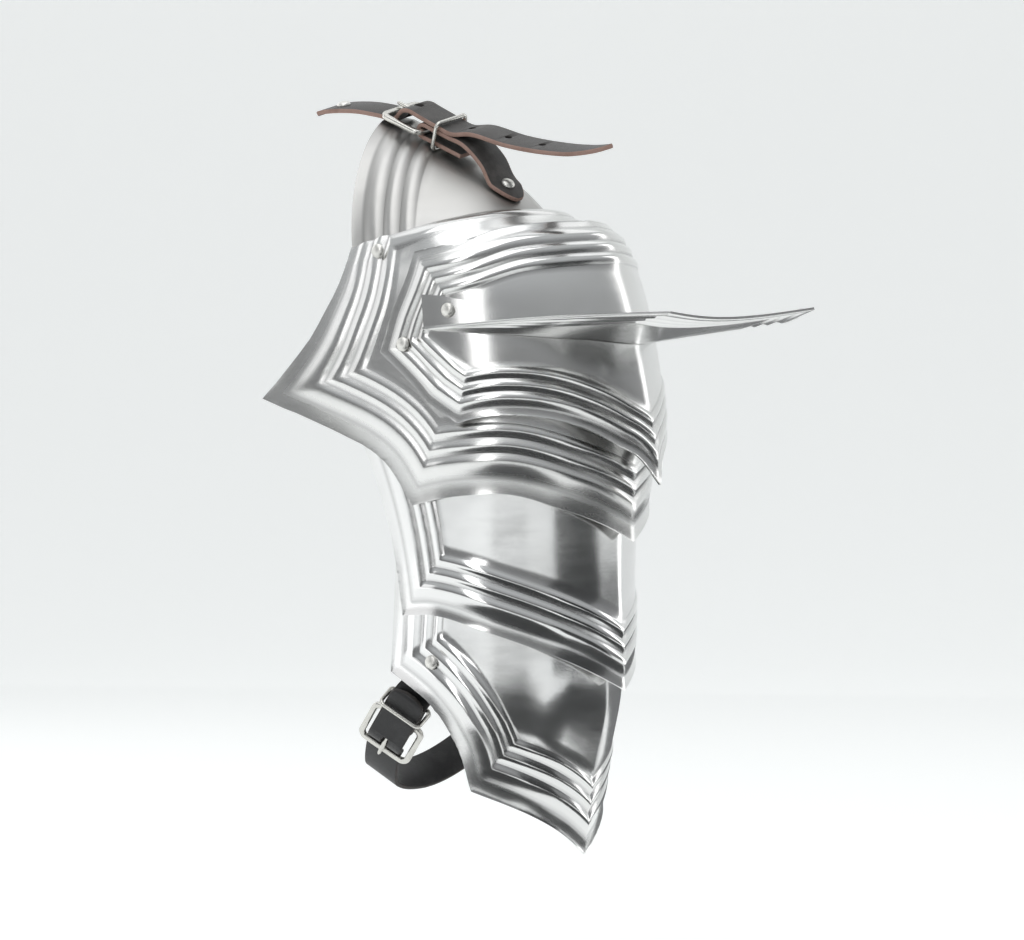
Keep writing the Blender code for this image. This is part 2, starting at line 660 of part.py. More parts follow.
def make_plates():
    """The cap, the wing plate, the guard plate and the two lames."""
    last = CAP.runs[-1]
    cap_front = [(np.array((0.93, 0.96, 0.99)), np.array((0.0, last / 2, last)))]
    cap = Plate(CAP, lambda girth: 0 * girth, lambda girth: 0 * girth + last, cap_front,
                (band(CAP_RIDGES), PLAIN_BAND, (PLAIN_BAND,) * 3), ((3, 2), 7))
    add_plate("shoulder_cap", cap, 0.0, 0.0)
    wing = Plate(BODY, level_edge(BODY, WING_TOP), level_edge(BODY, WING_BOTTOM), front_edge(BODY, WING_FRONT),
                 (last_ridge_band(WING_TOP_RIDGE), band(WING_RIDGES),
                  (band(WING_TOP_RIDGES), band(WING_RIDGES), band(WING_RIDGES))), ((3, 2), 6))
    add_plate("wing_plate", wing, 0.0, WING_KICK)
    guard = Plate(BODY, level_edge(BODY, GUARD_TOP), level_edge(BODY, GUARD_BOTTOM),
                  front_edge(BODY, GUARD_FRONT), (band(GUARD_RIDGES),) * 2 + ((band(GUARD_RIDGES),) * 3,),
                  ((2, 2), 6))
    add_plate("guard_plate", guard, GUARD_OFFSET, GUARD_KICK)
    upper = Plate(BODY, level_edge(BODY, UPPER_LAME_TOP), level_edge(BODY, UPPER_LAME_BOTTOM),
                  front_edge(BODY, UPPER_LAME_FRONT),
                  (PLAIN_BAND, band(UPPER_LAME_RIDGES), (band(UPPER_LAME_RIDGES),) * 3), ((2, 2), 6))
    add_plate("upper_arm_lame", upper, -UPPER_LAME_OFFSET, UPPER_LAME_KICK)
    lower = Plate(BODY, level_edge(BODY, LOWER_LAME_TOP), level_edge(BODY, LOWER_LAME_BOTTOM),
                  front_edge(BODY, LOWER_LAME_FRONT),
                  (PLAIN_BAND, band(LOWER_LAME_RIDGES), (band(LOWER_LAME_RIDGES),) * 3), ((2, 3), 6))
    add_plate("lower_arm_lame", lower, -LOWER_LAME_OFFSET, 0.0)
    return guard


# Side flange, in stations from its front end at 0 over its corner at 1 to its tip at 2.
# Columns: station, girth, depth of the root as a share of FLANGE_ROOT, rise as a share
# of UPSTAND, lift over the guard plate's innermost ridge as a share of RIDGE.
FLANGE_ROWS = (
    (0.0, 0.985, 0.945, 1.0, 1.0),
    (0.18, 0.88, 0.955, 1.0, 0.5),
    (0.36, 0.78, 0.965, 0.90, 0.0),
    (0.54, 0.67, 0.98, 0.55, 0.0),
    (0.72, 0.55, 0.99, 0.38, 0.0),
    (0.86, 0.45, 1.0, 0.32, 0.0),
    (1.0, 0.36, 1.005, 0.30, 0.0),
    (1.25, 0.27, 1.01, 0.30, 0.0),
    (1.5, 0.18, 1.02, 0.30, 0.0),
    (1.75, 0.09, 1.03, 0.30, 0.0),
    (2.0, 0.0, 1.035, 0.30, 0.0),
)


def flange_rim(part, start):
    """Point of the flange's outline."""
    corner = np.array((FLANGE_CORNER, -FLANGE_HALF, -0.862 * FLANGE_ROOT))
    tip = np.array((FLANGE_REACH, 0.0, -0.83 * FLANGE_ROOT))
    if part <= 1:
        arch = math.sin(math.pi * part)
        return start + (corner - start) * part + FLANGE_ARCH * np.array((0.0, -0.77 * arch, arch))
    share = part - 1
    bay = math.sin(math.pi * share)
    return corner + (tip - corner) * share + FLANGE_BAY * bay * np.array((-1.0, 0.375, -0.4375))


def make_flange(guard):
    """Crescent flange with its upstand, clear of the guard plate by the play between them."""
    rows, places = [], []
    stand = GUARD_OFFSET + SHEET + GAP + SEAT_PLAY
    for part, girth, depth, rise, lift in FLANGE_ROWS:
        depth = depth * FLANGE_ROOT
        heights = -depth + rise * UPSTAND * np.array((1.0, 0.5, 0.0))
        runs = BODY.run_at(heights)
        wall, normals = guard.wall(np.full(3, girth), runs, stand + lift * RIDGE, GUARD_KICK)
        root = wall[-1]
        if part == 0:
            start = root + normals[-1] * FLANGE_STEP
        rim = flange_rim(part, start)
        width = np.linalg.norm(rim - root)
        shrink = min(1.0, width / (2 * FLANGE_RIDGES[2]))
        lines = [1 - shrink * ridge / width for ridge in FLANGE_RIDGES[::-1]]
        shares = [lines[0] * 0.5, lines[0] * 0.85]
        for low_share, high_share in zip(lines, lines[1:] + [1.0]):
            shares += [low_share, (low_share + high_share) / 2]
        blade = [root + (rim - root) * share for share in shares + [1.0]]
        rows.append(np.concatenate((wall, blade)))
        places.append([0, 0, 0] + [shrink * level for level in (0, 0, 1, 0, 1, 0, 1, 0, 0)])
    half = np.array(rows)[::-1].transpose(1, 0, 2)
    relief = mirrored_places(np.array(places)[::-1].T)
    grid = mirrored(half)
    facing = unit(np.cross(np.gradient(grid, axis=1), np.gradient(grid, axis=0)))
    if facing[-1, facing.shape[1] // 2, 2] < 0:
        facing = -facing
    facing[:, grid.shape[1] // 2, 1] = 0.0
    facing = unit(facing)
    grid = grid + facing * (relief * RIDGE)[..., None]
    vertices, faces = sheet_mesh(grid, facing, np.zeros(relief.shape), SHEET)
    add_object("side_flange", vertices, faces, STEEL)


def on_plate(reach, depth, offset):
    """Point of a plate at a reach and depth given as shares."""
    run = BODY.run_at(-depth * DROP)
    girth = BODY.girth_at(reach * REACH, run)
    return BODY.point(girth, run) + BODY.normal(girth, run) * offset


FRONT = Vector((0, -1, 0))
BACK = Vector((0, 1, 0))

# Places of the rivets as shares of REACH and DROP
WING_PIVOT = (-0.42, 0.110)
GUARD_PIVOT = (-0.127, 0.248)
FLANGE_RIVET = 0.214  # its depth follows the flange's upstand
ARM_STRAP_RIVET = (-0.068, 0.710)
LEATHER_REACH = 0.17
LEATHER_RIVETS = (0.314, 0.425, 0.578)
LEATHER_DEPTHS = (0.290, 0.315, 0.340, 0.365, 0.395, 0.425, 0.455, 0.485, 0.515, 0.545, 0.575, 0.60)


def make_rivets():
    """Pivots of the plates and rivets of the flange, one at the front and one at the back."""
    for side, axis in (("front", FRONT), ("back", BACK)):
        flip = 1.0 if side == "front" else -1.0
        mirror = np.array((1.0, flip, 1.0))
        centre = on_plate(*WING_PIVOT, 0.0) * mirror
        rivet("wing_pivot_" + side, centre, axis, "wing_plate", "shoulder_cap", RIVET_DOME,
              ("wing_plate", "shoulder_cap"))
        centre = on_plate(*GUARD_PIVOT, GUARD_OFFSET) * mirror
        rivet("guard_pivot_" + side, centre, axis, "guard_plate", "wing_plate", RIVET_DOME,
              ("guard_plate", "wing_plate"))
        depth = FLANGE_ROWS[0][2] * FLANGE_ROOT - 0.55 * UPSTAND
        centre = on_plate(FLANGE_RIVET, depth / DROP, GUARD_OFFSET) * mirror
        rivet("flange_rivet_" + side, centre, axis, "side_flange", "guard_plate", RIVET_DOME,
              ("side_flange", "guard_plate"))


def inner_wall(names, centre, axis, radius):
    """Height along the axis of the innermost of several plates within a radius."""
    heights = [probe(name, centre, axis, radius, False) for name in names]
    return min(height for height in heights if height is not None)


def make_leathers():
    """Two hidden leathers that carry the lames, riveted inside each plate."""
    plates = ("wing_plate", "upper_arm_lame", "lower_arm_lame")
    half_width = LEATHER_WIDTH / 2 / REACH
    for side, axis in (("front", FRONT), ("back", BACK)):
        mirror = np.array((1.0, 1.0 if side == "front" else -1.0, 1.0))
        name = "articulation_leather_" + side
        path, ways = [], []
        for depth in LEATHER_DEPTHS:
            left = on_plate(LEATHER_REACH - half_width, depth, 0.0) * mirror
            right = on_plate(LEATHER_REACH + half_width, depth, 0.0) * mirror
            across = Vector(right - left).normalized()
            out = across.cross(Vector((0, 0, 1))).normalized()
            if out.dot(axis) < 0:
                out.negate()
            centre = Vector((left + right) / 2)
            height = inner_wall(plates, centre, out, LEATHER_WIDTH / 2 + 1.5)
            path.append(centre + out * (height - GAP - STRAP / 2 - 0.1))
            ways.append(across)
        ribbon(name, path, ways, np.full(len(path), LEATHER_WIDTH), STRAP, BLACK_LEATHER)
        for plate, depth in zip(plates, LEATHER_RIVETS):
            centre = on_plate(LEATHER_REACH, depth, 0.0) * mirror
            rivet("leather_rivet_" + plate.split("_")[0] + "_" + side, centre, axis, plate, name, LOW_DOME,
                  (plate, name))


# Straps. The hinge bar is the zero of a buckle's own frame. A strap's layers lie LOOP
# below the bar, LOOP above it and STACK above it.
LOOP = BUCKLE_BAR + GAP + STRAP / 2 + 0.1
STACK = LOOP + STRAP + GAP

# Long strap through a buckle. Columns: way past the hinge bar as a share of the buckle's
# length, and level, where -1 is LOOP below the bar and 1 is STACK above it.
BUCKLED_ROWS = (
    (1.10, -1.03),
    (0.91, -1.0),
    (0.78, -0.1),
    (0.66, 0.82),
    (0.48, 1.14),
    (0.30, 1.11),
    (0.0, 1.05),
    (-0.35, 1.0),
    (-0.74, 1.0),
)

# Ends of the shoulder strap. Columns: reach as a share of REACH, height as a share of
# the hinge bar's height, width as a share of STRAP_WIDTH.
NECK_ROWS = (
    (-1.42, 1.36, 0.45),
    (-1.38, 1.40, 0.85),
    (-1.27, 1.44, 1.0),
    (-1.06, 1.42, 1.0),
    (-0.93, 1.36, 1.0),
)
TAIL_ROWS = (
    (-0.12, 0.90, 1.0),
    (0.15, 0.68, 1.0),
    (0.41, 0.54, 1.0),
    (0.65, 0.47, 0.95),
    (0.82, 0.49, 0.6),
    (0.90, 0.53, 0.12),
)
TAIL_HOLES = (-0.20, 0.09, 0.36)


class Buckle:
    """A buckle's own frame: its hinge bar and the ways along, across and off the strap."""

    def __init__(self, name, hinge, along, across):
        self.name = name
        self.hinge = Vector(hinge)
        self.along = Vector(along).normalized()
        across = Vector(across)
        self.across = (across - self.along * across.dot(self.along)).normalized()
        self.up = self.across.cross(self.along)

    def place(self, along, height):
        """Point of the plane across the bar."""
        return np.array(self.hinge + self.along * along + self.up * height)

    def hooks(self, radius, start, end, steps):
        """Points of an arc around the hinge bar."""
        angles = np.radians(np.linspace(start, end, steps))
        return [self.place(radius * math.cos(angle), radius * math.sin(angle)) for angle in angles]

    def buckled(self):
        """Way of the long strap through the buckle, from its outer bar."""
        levels = [np.interp(row[1], (-2, -1, 0, 1, 2), (-2 * LOOP, -LOOP, 0, STACK, 2 * STACK))
                  for row in BUCKLED_ROWS]
        return [self.place(row[0] * BUCKLE_LENGTH, level) for row, level in zip(BUCKLED_ROWS, levels)]

    def make_metal(self):
        """Frame, tongue and keeper ring."""
        wire_ring(self.name + "_buckle_frame", self.hinge + self.along * BUCKLE_LENGTH / 2, self.along,
                  self.across, BUCKLE_LENGTH, BUCKLE_WIDTH, BUCKLE_BAR, FRAME_CORNER, NICKEL)
        ride = BUCKLE_BAR + GAP + TONGUE
        path = self.hooks(ride, -100, -260, 6)
        path += [self.place(share * BUCKLE_LENGTH, ride) for share in (0.26, 0.61, 0.87, 1.1)]
        rod(self.name + "_buckle_tongue", path, TONGUE, self.across, NICKEL)
        inner = (STRAP_WIDTH + 2 * KEEPER_PLAY, STACK + LOOP + STRAP + 1.25 * KEEPER_PLAY)
        centre = self.place(-KEEPER_SHARE * BUCKLE_LENGTH, (STACK - LOOP) / 2 + 0.1)
        wire_ring(self.name + "_keeper", centre, self.across, self.up, inner[0] + 2 * KEEPER_WIRE,
                  inner[1] + 2 * KEEPER_WIRE, KEEPER_WIRE, KEEPER_CORNER, NICKEL)

    def cut_slots(self, strap, fold):
        """Slots for the tongue in the long strap and in the fold around the hinge bar."""
        self.slot(strap, 0.63 * BUCKLE_LENGTH, STACK / 2, 0.44 * BUCKLE_LENGTH)
        self.slot(fold, 0.0, 0.0, 0.48 * BUCKLE_LENGTH)

    def slot(self, piece, along, height, length):
        """Cut a box out of a piece."""
        size = (length, 2 * TONGUE + 2.0, 2 * STACK + 5.0)
        vertices = []
        for a in (-0.5, 0.5):
            for b in (-0.5, 0.5):
                for c in (-0.5, 0.5):
                    vertices.append(Vector(self.place(along + size[0] * a, height + size[2] * c))
                                    + self.across * size[1] * b)
        cut(piece, vertices, ((0, 1, 3, 2), (4, 6, 7, 5), (0, 4, 5, 1), (2, 3, 7, 6), (0, 2, 6, 4), (1, 5, 7, 3)))


def on_cap(reach, height):
    """Point of the cap under the shoulder strap, at a height over its middle surface."""
    run = np.interp(reach * REACH, CAP.crease[:, 0], CAP.runs)
    girth = math.asin(STRAP_DROP * HALF / np.interp(run, CAP.runs, CAP.half)) / (math.pi / 2)
    normal = CAP.normal(girth, run)
    return CAP.point(girth, run) + normal * height, normal


def make_shoulder_strap():
    """Buckle leather riveted to the cap, and the long strap that came from the neck."""
    slope, lean = math.radians(24.7), math.radians(18.0)
    hinge_reach = HINGE_SHARE * REACH
    behind = KEEPER_SHARE * BUCKLE_LENGTH
    under_keeper = on_cap((behind * math.cos(slope) - hinge_reach) / REACH, 0.0)[0]
    hinge_height = under_keeper[2] + KEEPER_LIFT + behind * math.sin(slope)
    buckle = Buckle("shoulder", (-hinge_reach, -STRAP_DROP * HALF, hinge_height),
                    (-math.cos(slope), 0, math.sin(slope)), (0, math.cos(lean), math.sin(lean)))
    seat = SHEET / 2 + GAP + STRAP / 2 + SEAT_PLAY
    path = [buckle.place(-share * BUCKLE_LENGTH, -LOOP) for share in (1.1, 0.6, 0.2)]
    path += buckle.hooks(LOOP, -90, 90, 7)
    path += [buckle.place(-share * BUCKLE_LENGTH, LOOP) for share in (0.25, 0.65, 1.1)]
    landing = [on_cap(reach, seat)[0] for reach in (0.03, 0.10, 0.17)]
    path += [path[-1] * 0.4 + landing[0] * 0.6 + np.array((1.0, 0.0, 1.6))] + landing
    widths = [STRAP_WIDTH] * (len(path) - 2) + [0.85 * STRAP_WIDTH, 0.25 * STRAP_WIDTH]
    ribbon("buckle_leather", path, buckle.across, widths, STRAP, BLACK_LEATHER)
    depth = -STRAP_DROP * HALF
    path = [(row[0] * REACH, depth, row[1] * hinge_height) for row in NECK_ROWS]
    path += buckle.buckled()
    path += [(row[0] * REACH, depth, row[1] * hinge_height) for row in TAIL_ROWS]
    widths = [row[2] * STRAP_WIDTH for row in NECK_ROWS] + [STRAP_WIDTH] * len(BUCKLED_ROWS)
    widths += [row[2] * STRAP_WIDTH for row in TAIL_ROWS]
    ribbon("shoulder_strap", path, buckle.across, widths, STRAP, BLACK_LEATHER)
    buckle.make_metal()
    buckle.cut_slots("shoulder_strap", "buckle_leather")
    line = np.array([np.array(point) for point in path[len(NECK_ROWS) + 6:]])
    hole = ((0, -CUT_OVER), (STRAP_HOLE, -CUT_OVER), (STRAP_HOLE, CUT_OVER), (0, CUT_OVER))
    for reach in TAIL_HOLES:
        height = np.interp(reach * REACH, line[:, 0], line[:, 2])
        cut("shoulder_strap", *lathe(hole, (reach * REACH, depth, height), buckle.up, 8))
    centre, normal = on_cap(0.07, seat)
    rivet("buckle_leather_rivet", centre, normal, "buckle_leather", "shoulder_cap", RIVET_DOME,
          ("buckle_leather", "shoulder_cap"))
    reach, height = -1.24 * REACH, 1.43 * hinge_height
    rivet("shoulder_strap_rivet", (reach, depth, height), buckle.across.cross(Vector((-1, 0, 0))),
          "shoulder_strap", "shoulder_strap", RIVET_DOME, ("shoulder_strap",))


def make_arm_strap():
    """Loop around the arm: a short front leather with the buckle, and a long back leather."""
    rivet_point = on_plate(*ARM_STRAP_RIVET, -LOWER_LAME_OFFSET)
    inside = SHEET / 2 + GAP + STRAP / 2 + ARM_SEAT_PLAY
    slant = np.array((-ARM_LOOP, 0.0, -ARM_LOOP_DROP))
    across = unit(np.array((-ARM_LOOP_DROP, 0.0, ARM_LOOP)))
    seat = rivet_point + np.array((0.0, inside, 0.0))
    hinge = rivet_point + slant * 0.47 + np.array((0.0, ARM_BUCKLE_DEPTH, 0.0))
    buckle = Buckle("arm", hinge, (-0.66, 0.33, -0.675), (-0.79, -0.33, 0.51))

    front = [seat - slant * 0.13, seat - slant * 0.09, seat, seat + slant * 0.06]
    front += [(seat + slant * 0.20) * (1.0, 0.0, 1.0) + (0.0, seat[1] + ARM_LEATHER_STEP, 0.0)]
    front += [buckle.place(-share * BUCKLE_LENGTH, -LOOP) for share in (0.65, 0.2)]
    front += buckle.hooks(LOOP, -90, 90, 7)
    front += [buckle.place(-share * BUCKLE_LENGTH, LOOP) for share in (0.2, 0.7)]
    ways = [across] * 5 + [np.array(buckle.across)] * 11
    widths = [0.3 * STRAP_WIDTH, 0.85 * STRAP_WIDTH] + [STRAP_WIDTH] * 14
    ribbon("arm_strap_front", front, ways, widths, STRAP, BLACK_LEATHER)

    turn = np.radians(np.linspace(88, -22, 12))
    back_seat = seat * np.array((1.0, -1.0, 1.0))
    back = [back_seat - slant * 0.13, back_seat - slant * 0.09, back_seat, back_seat + slant * 0.1]
    for angle in turn[1:]:
        side = math.sin(angle)
        depth = math.copysign(abs(side) ** 0.8, side) * (abs(seat[1]) - 2.0)
        back.append(rivet_point * (1, 0, 1) + slant * math.cos(angle) ** 0.8 + np.array((0.0, depth, 0.0)))
    back += buckle.buckled()
    tail = [buckle.place(-share * BUCKLE_LENGTH, STACK) for share in (0.86, 0.95)]
    back += tail
    twist = np.interp(np.arange(len(back)), (0, 11, len(back) - 12, len(back)), (0, 0, 1, 1))[:, None]
    ways = across * (1 - twist) + np.array(buckle.across) * twist
    widths = [0.3 * STRAP_WIDTH, 0.85 * STRAP_WIDTH] + [STRAP_WIDTH] * (len(back) - 4)
    widths += [0.85 * STRAP_WIDTH, 0.3 * STRAP_WIDTH]
    ribbon("arm_strap_back", back, ways, widths, STRAP, BLACK_LEATHER)
    buckle.make_metal()
    buckle.cut_slots("arm_strap_back", "arm_strap_front")
    for side, axis, piece in (("front", FRONT, "arm_strap_front"), ("back", BACK, "arm_strap_back")):
        centre = rivet_point * np.array((1.0, 1.0 if side == "front" else -1.0, 1.0))
        rivet("arm_strap_rivet_" + side, centre, axis, "lower_arm_lame", piece, RIVET_DOME,
              ("lower_arm_lame", piece))


def main():
    """Make all the pieces."""
    guard = make_plates()
    make_flange(guard)
    make_rivets()
    make_leathers()
    make_shoulder_strap()
    make_arm_strap()
    apply_cutters()


main()
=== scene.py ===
"""Looks of a left pauldron in polished steel, with its buckled straps.

The plates follow the same sleeves, outlines and ridge lines as the solids, with finer
rings, and each stands for its solid. Sizes are in millimetres until a mesh is made.
"""

import logging
import math
from dataclasses import dataclass, field
from enum import Enum
from functools import lru_cache
from typing import Any, Callable, Optional, Sequence, Union

import bmesh
import bpy
import numpy as np
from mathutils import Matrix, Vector


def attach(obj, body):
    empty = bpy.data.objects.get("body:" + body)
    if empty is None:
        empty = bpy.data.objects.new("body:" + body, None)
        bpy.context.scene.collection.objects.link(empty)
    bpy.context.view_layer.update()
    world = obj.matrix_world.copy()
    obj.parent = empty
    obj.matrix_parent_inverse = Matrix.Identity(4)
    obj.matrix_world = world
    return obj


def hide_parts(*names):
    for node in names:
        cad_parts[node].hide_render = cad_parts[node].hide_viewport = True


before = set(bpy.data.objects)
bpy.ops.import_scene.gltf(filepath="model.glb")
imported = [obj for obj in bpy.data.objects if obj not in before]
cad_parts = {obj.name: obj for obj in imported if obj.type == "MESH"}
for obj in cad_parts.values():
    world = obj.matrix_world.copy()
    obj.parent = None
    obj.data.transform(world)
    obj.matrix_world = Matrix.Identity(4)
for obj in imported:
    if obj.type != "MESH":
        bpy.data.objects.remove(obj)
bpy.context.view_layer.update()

logging.basicConfig(level=logging.INFO, format="%(name)s: %(message)s")
LOG = logging.getLogger("pauldron")

MM = 0.001
Array = np.ndarray
Edge = Callable[[Array], Array]

# Main sizes, as in the solids
REACH = 74.0
HALF = 70.5
DROP = 334.0
ARM_KEEL = 5.0
CAP_KEEL = 14.0
FLARE_START = 15.0
SHEET = 1.2
GAP = 0.3
RIDGE = 1.2
STRAP = 2.2
STRAP_WIDTH = 19.0
BUCKLE_BAR = 1.6
TONGUE = 1.2
KEEPER_WIRE = 1.1
KEEPER_SHARE = 0.4
BUCKLE_LENGTH = 23.0
BUCKLE_WIDTH = 27.0
STRAP_HOLE = 1.9
PUNCH_REACH = 6.0
LOOP_PLAY = 0.1
LOOP = BUCKLE_BAR + GAP + STRAP / 2 + LOOP_PLAY
STACK = LOOP + STRAP + GAP
SEAT_PLAY = 0.6
ARM_SEAT_PLAY = 0.9
GUARD_OFFSET = 4.6
GUARD_KICK = 12.5
UPPER_LAME_OFFSET = -4.6
LOWER_LAME_OFFSET = -9.2
RIVET_DOME = 2.0
LEATHER_RIVET_DOME = 1.3
ARM_RIVET = (-0.068, 0.710)  # reach and depth of the arm strap's front rivet

# Distances of the three ridges from an edge
CAP_RIDGES = (12.5, 20.5, 29.0)
WING_RIDGES = (16.0, 23.5, 31.0)
WING_SHOULDER_RIDGES = (8.0, 16.0, 24.0)
GUARD_RIDGES = (8.5, 14.5, 20.5)
UPPER_LAME_RIDGES = (13.0, 20.0, 27.0)
LOWER_LAME_RIDGES = (13.5, 21.5, 28.5)
WING_TOP_RIDGE = 6.5

# Columns: depth, crease, half width, middle, flare
SLEEVE_ROWS = (
    (0.039, 0.135, 0.48, -0.405, 0.0),
    (0.046, 0.284, 0.58, -0.378, 0.0),
    (0.052, 0.365, 0.65, -0.351, 0.0),
    (0.063, 0.486, 0.74, -0.297, 0.0),
    (0.076, 0.608, 0.81, -0.230, 0.0),
    (0.093, 0.703, 0.87, -0.169, 0.0),
    (0.120, 0.784, 0.925, -0.095, 0.0),
    (0.156, 0.845, 0.96, -0.027, 0.04),
    (0.210, 0.912, 0.986, 0.013, 0.10),
    (0.284, 0.973, 1.0, 0.054, 0.15),
    (0.374, 0.993, 1.0, 0.068, 0.15),
    (0.464, 0.966, 0.986, 0.068, 0.04),
    (0.554, 0.946, 0.965, 0.040, -0.06),
    (0.659, 0.939, 0.95, 0.0, -0.10),
    (0.763, 0.919, 0.95, -0.040, -0.14),
    (0.883, 0.797, 0.936, -0.080, -0.14),
    (1.040, 0.715, 0.908, -0.095, -0.14),
)

# Columns: crest reach, crest height, sideways fall, downward fall, half width
CAP_ROWS = (
    (-0.892, 0.1033, 0.270, -0.2695, 0.887),
    (-0.608, 0.0750, 0.100, -0.2420, 0.870),
    (-0.311, 0.0390, 0.000, -0.2150, 0.848),
    (0.034, -0.0025, -0.080, -0.1850, 0.805),
    (0.284, -0.0530, -0.150, -0.1420, 0.725),
    (0.486, -0.1010, -0.200, -0.0980, 0.620),
    (0.630, -0.1480, -0.210, -0.0560, 0.500),
)

# Columns: girth and depth
WING_TOP = ((0, 0.0475), (0.28, 0.0487), (0.5, 0.053), (0.75, 0.064), (1, 0.078),
            (1.25, 0.0905), (1.53, 0.1055))
WING_BOTTOM = ((0, 0.535), (0.16, 0.512), (0.37, 0.488), (0.65, 0.464), (0.84, 0.466),
               (1.18, 0.481))
GUARD_TOP = ((0, 0.078), (0.3, 0.082), (0.53, 0.089), (0.75, 0.106), (1.0, 0.118))
GUARD_BOTTOM = ((0, 0.451), (0.06, 0.421), (0.2, 0.391), (0.4, 0.362), (0.57, 0.351),
                (0.755, 0.353), (0.87, 0.362))
UPPER_LAME_TOP = ((0, 0.389), (1.0, 0.383), (1.5, 0.380))
UPPER_LAME_BOTTOM = ((0, 0.754), (0.335, 0.708), (0.69, 0.668), (1.0, 0.642),
                     (1.27, 0.643))
LOWER_LAME_TOP = ((0, 0.527), (1.0, 0.524), (1.5, 0.521))
LOWER_LAME_BOTTOM = ((0, 1.0), (0.22, 0.961), (0.39, 0.937), (0.555, 0.918), (0.695, 0.904))

# Columns: reach and depth
WING_FRONT = (((-0.662, 0.1055), (-0.74, 0.180), (-0.85, 0.232), (-1.19, 0.326)),
              ((-1.19, 0.326), (-0.80, 0.360), (-0.50, 0.389), (-0.11, 0.481)))
GUARD_FRONT = (((-0.10, 0.118), (-0.20, 0.185), (-0.31, 0.260)),
               ((-0.31, 0.260), (-0.05, 0.309), (0.27, 0.362)))
UPPER_LAME_FRONT = (((-0.51, 0.383), (-0.33, 0.548), (-0.27, 0.643)),)
LOWER_LAME_FRONT = (((-0.35, 0.524), (-0.38, 0.600), (-0.432, 0.726)),
                    ((-0.432, 0.726), (-0.10, 0.770), (0.13, 0.826), (0.265, 0.904)))

# Columns: station, girth, depth of the root, rise of the upstand, lift over a ridge
FLANGE_ROWS = (
    (0.0, 0.985, 0.945, 1.0, 1.0),
    (0.18, 0.88, 0.955, 1.0, 0.5),
    (0.36, 0.78, 0.965, 0.90, 0.0),
    (0.54, 0.67, 0.98, 0.55, 0.0),
    (0.72, 0.55, 0.99, 0.38, 0.0),
    (0.86, 0.45, 1.0, 0.32, 0.0),
    (1.0, 0.36, 1.005, 0.30, 0.0),
    (1.25, 0.27, 1.01, 0.30, 0.0),
    (1.5, 0.18, 1.02, 0.30, 0.0),
    (1.75, 0.09, 1.03, 0.30, 0.0),
    (2.0, 0.0, 1.035, 0.30, 0.0),
)

# Columns: way past the hinge bar, level
BUCKLED_ROWS = (
    (1.10, -1.03),
    (0.91, -1.0),
    (0.78, -0.1),
    (0.66, 0.82),
    (0.48, 1.14),
    (0.30, 1.11),
    (0.0, 1.05),
    (-0.35, 1.0),
    (-0.74, 1.0),
)

# Columns: reach, height, width
NECK_ROWS = (
    (-1.42, 1.36, 0.45),
    (-1.38, 1.40, 0.85),
    (-1.27, 1.44, 1.0),
    (-1.06, 1.42, 1.0),
    (-0.93, 1.36, 1.0),
)
TAIL_ROWS = (
    (-0.12, 0.90, 1.0),
    (0.15, 0.68, 1.0),
    (0.41, 0.54, 1.0),
    (0.65, 0.47, 0.95),
    (0.82, 0.49, 0.6),
    (0.90, 0.53, 0.12),
)
TAIL_HOLES = (-0.20, 0.09, 0.36)

# Places across a ridge, either side of its crest, where rings are laid
CREST_STEPS = (-0.42, -0.3, -0.18, -0.08, 0.0, 0.08, 0.18, 0.3, 0.42)
PLAIN = 4.0  # place of the plain field
CREST_POWER = 1.15  # how narrow the top of a ridge is
RIM_RISE = 0.35  # height of the rolled rim, as a share of RIDGE
RIM_SPAN = 0.35  # its width on the ridge scale
RIM_OUT = 0.28  # how far a softened edge stands out, in thicknesses
RIM_HALF = 0.3  # half of its flat, in thicknesses
GIRTH_STEP = 0.004  # steps that give the slopes of a sleeve
RUN_STEP = 0.4


def unit(vectors: Array) -> Array:
    """Vectors of length one."""
    return vectors / np.linalg.norm(vectors, axis=-1, keepdims=True)


def smooth(stations: Sequence[float], values: Sequence[float], at: Any) -> Array:
    """Cubic through the values at the stations, straight beyond both ends.

    Args:
        stations: Rising places where the values are known.
        values: One value for each station.
        at: Places to work out.

    Returns:
        The value at each place.
    """
    stations = np.asarray(stations, float)
    values = np.asarray(values, float)
    at = np.asarray(at, float)
    slopes = np.gradient(values, stations)
    cell = np.clip(np.searchsorted(stations, at, side="right") - 1, 0, len(stations) - 2)
    width = stations[cell + 1] - stations[cell]
    part = np.clip((at - stations[cell]) / width, 0.0, 1.0)
    start, end = values[cell], values[cell + 1]
    rise, fall = slopes[cell] * width, slopes[cell + 1] * width
    curve = (start * (1 + 2 * part) * (1 - part) ** 2 + end * part ** 2 * (3 - 2 * part)
             + rise * part * (1 - part) ** 2 - fall * part ** 2 * (1 - part))
    curve = curve + np.minimum(at - stations[0], 0.0) * slopes[0]
    return curve + np.maximum(at - stations[-1], 0.0) * slopes[-1]


def ring_places() -> Array:
    """Places of the rings of a ridged edge.

    Returns:
        Rising places on a scale where the ridges are 1, 2 and 3.
    """
    places = [0.0, 0.04, 0.12, 0.25, 0.38, 0.5]
    for ridge in (1, 2, 3):
        places += [ridge + step for step in CREST_STEPS] + [ridge + 0.5]
    return np.array(places)


def relief(place: Array) -> Array:
    """Height of the pressed surface as a share of RIDGE.

    Args:
        place: Places on the ridge scale.

    Returns:
        One at a crest, nothing in the flutes and the field, a little at the rolled rim.
    """
    away = np.abs(place - np.clip(np.round(place), 1, 3))
    crest = np.cos(math.pi * np.minimum(away, 0.5)) ** CREST_POWER
    rim = RIM_RISE * np.clip(1 - place / RIM_SPAN, 0.0, 1.0) ** 2
    return np.where(place >= PLAIN, 0.0, crest + rim)


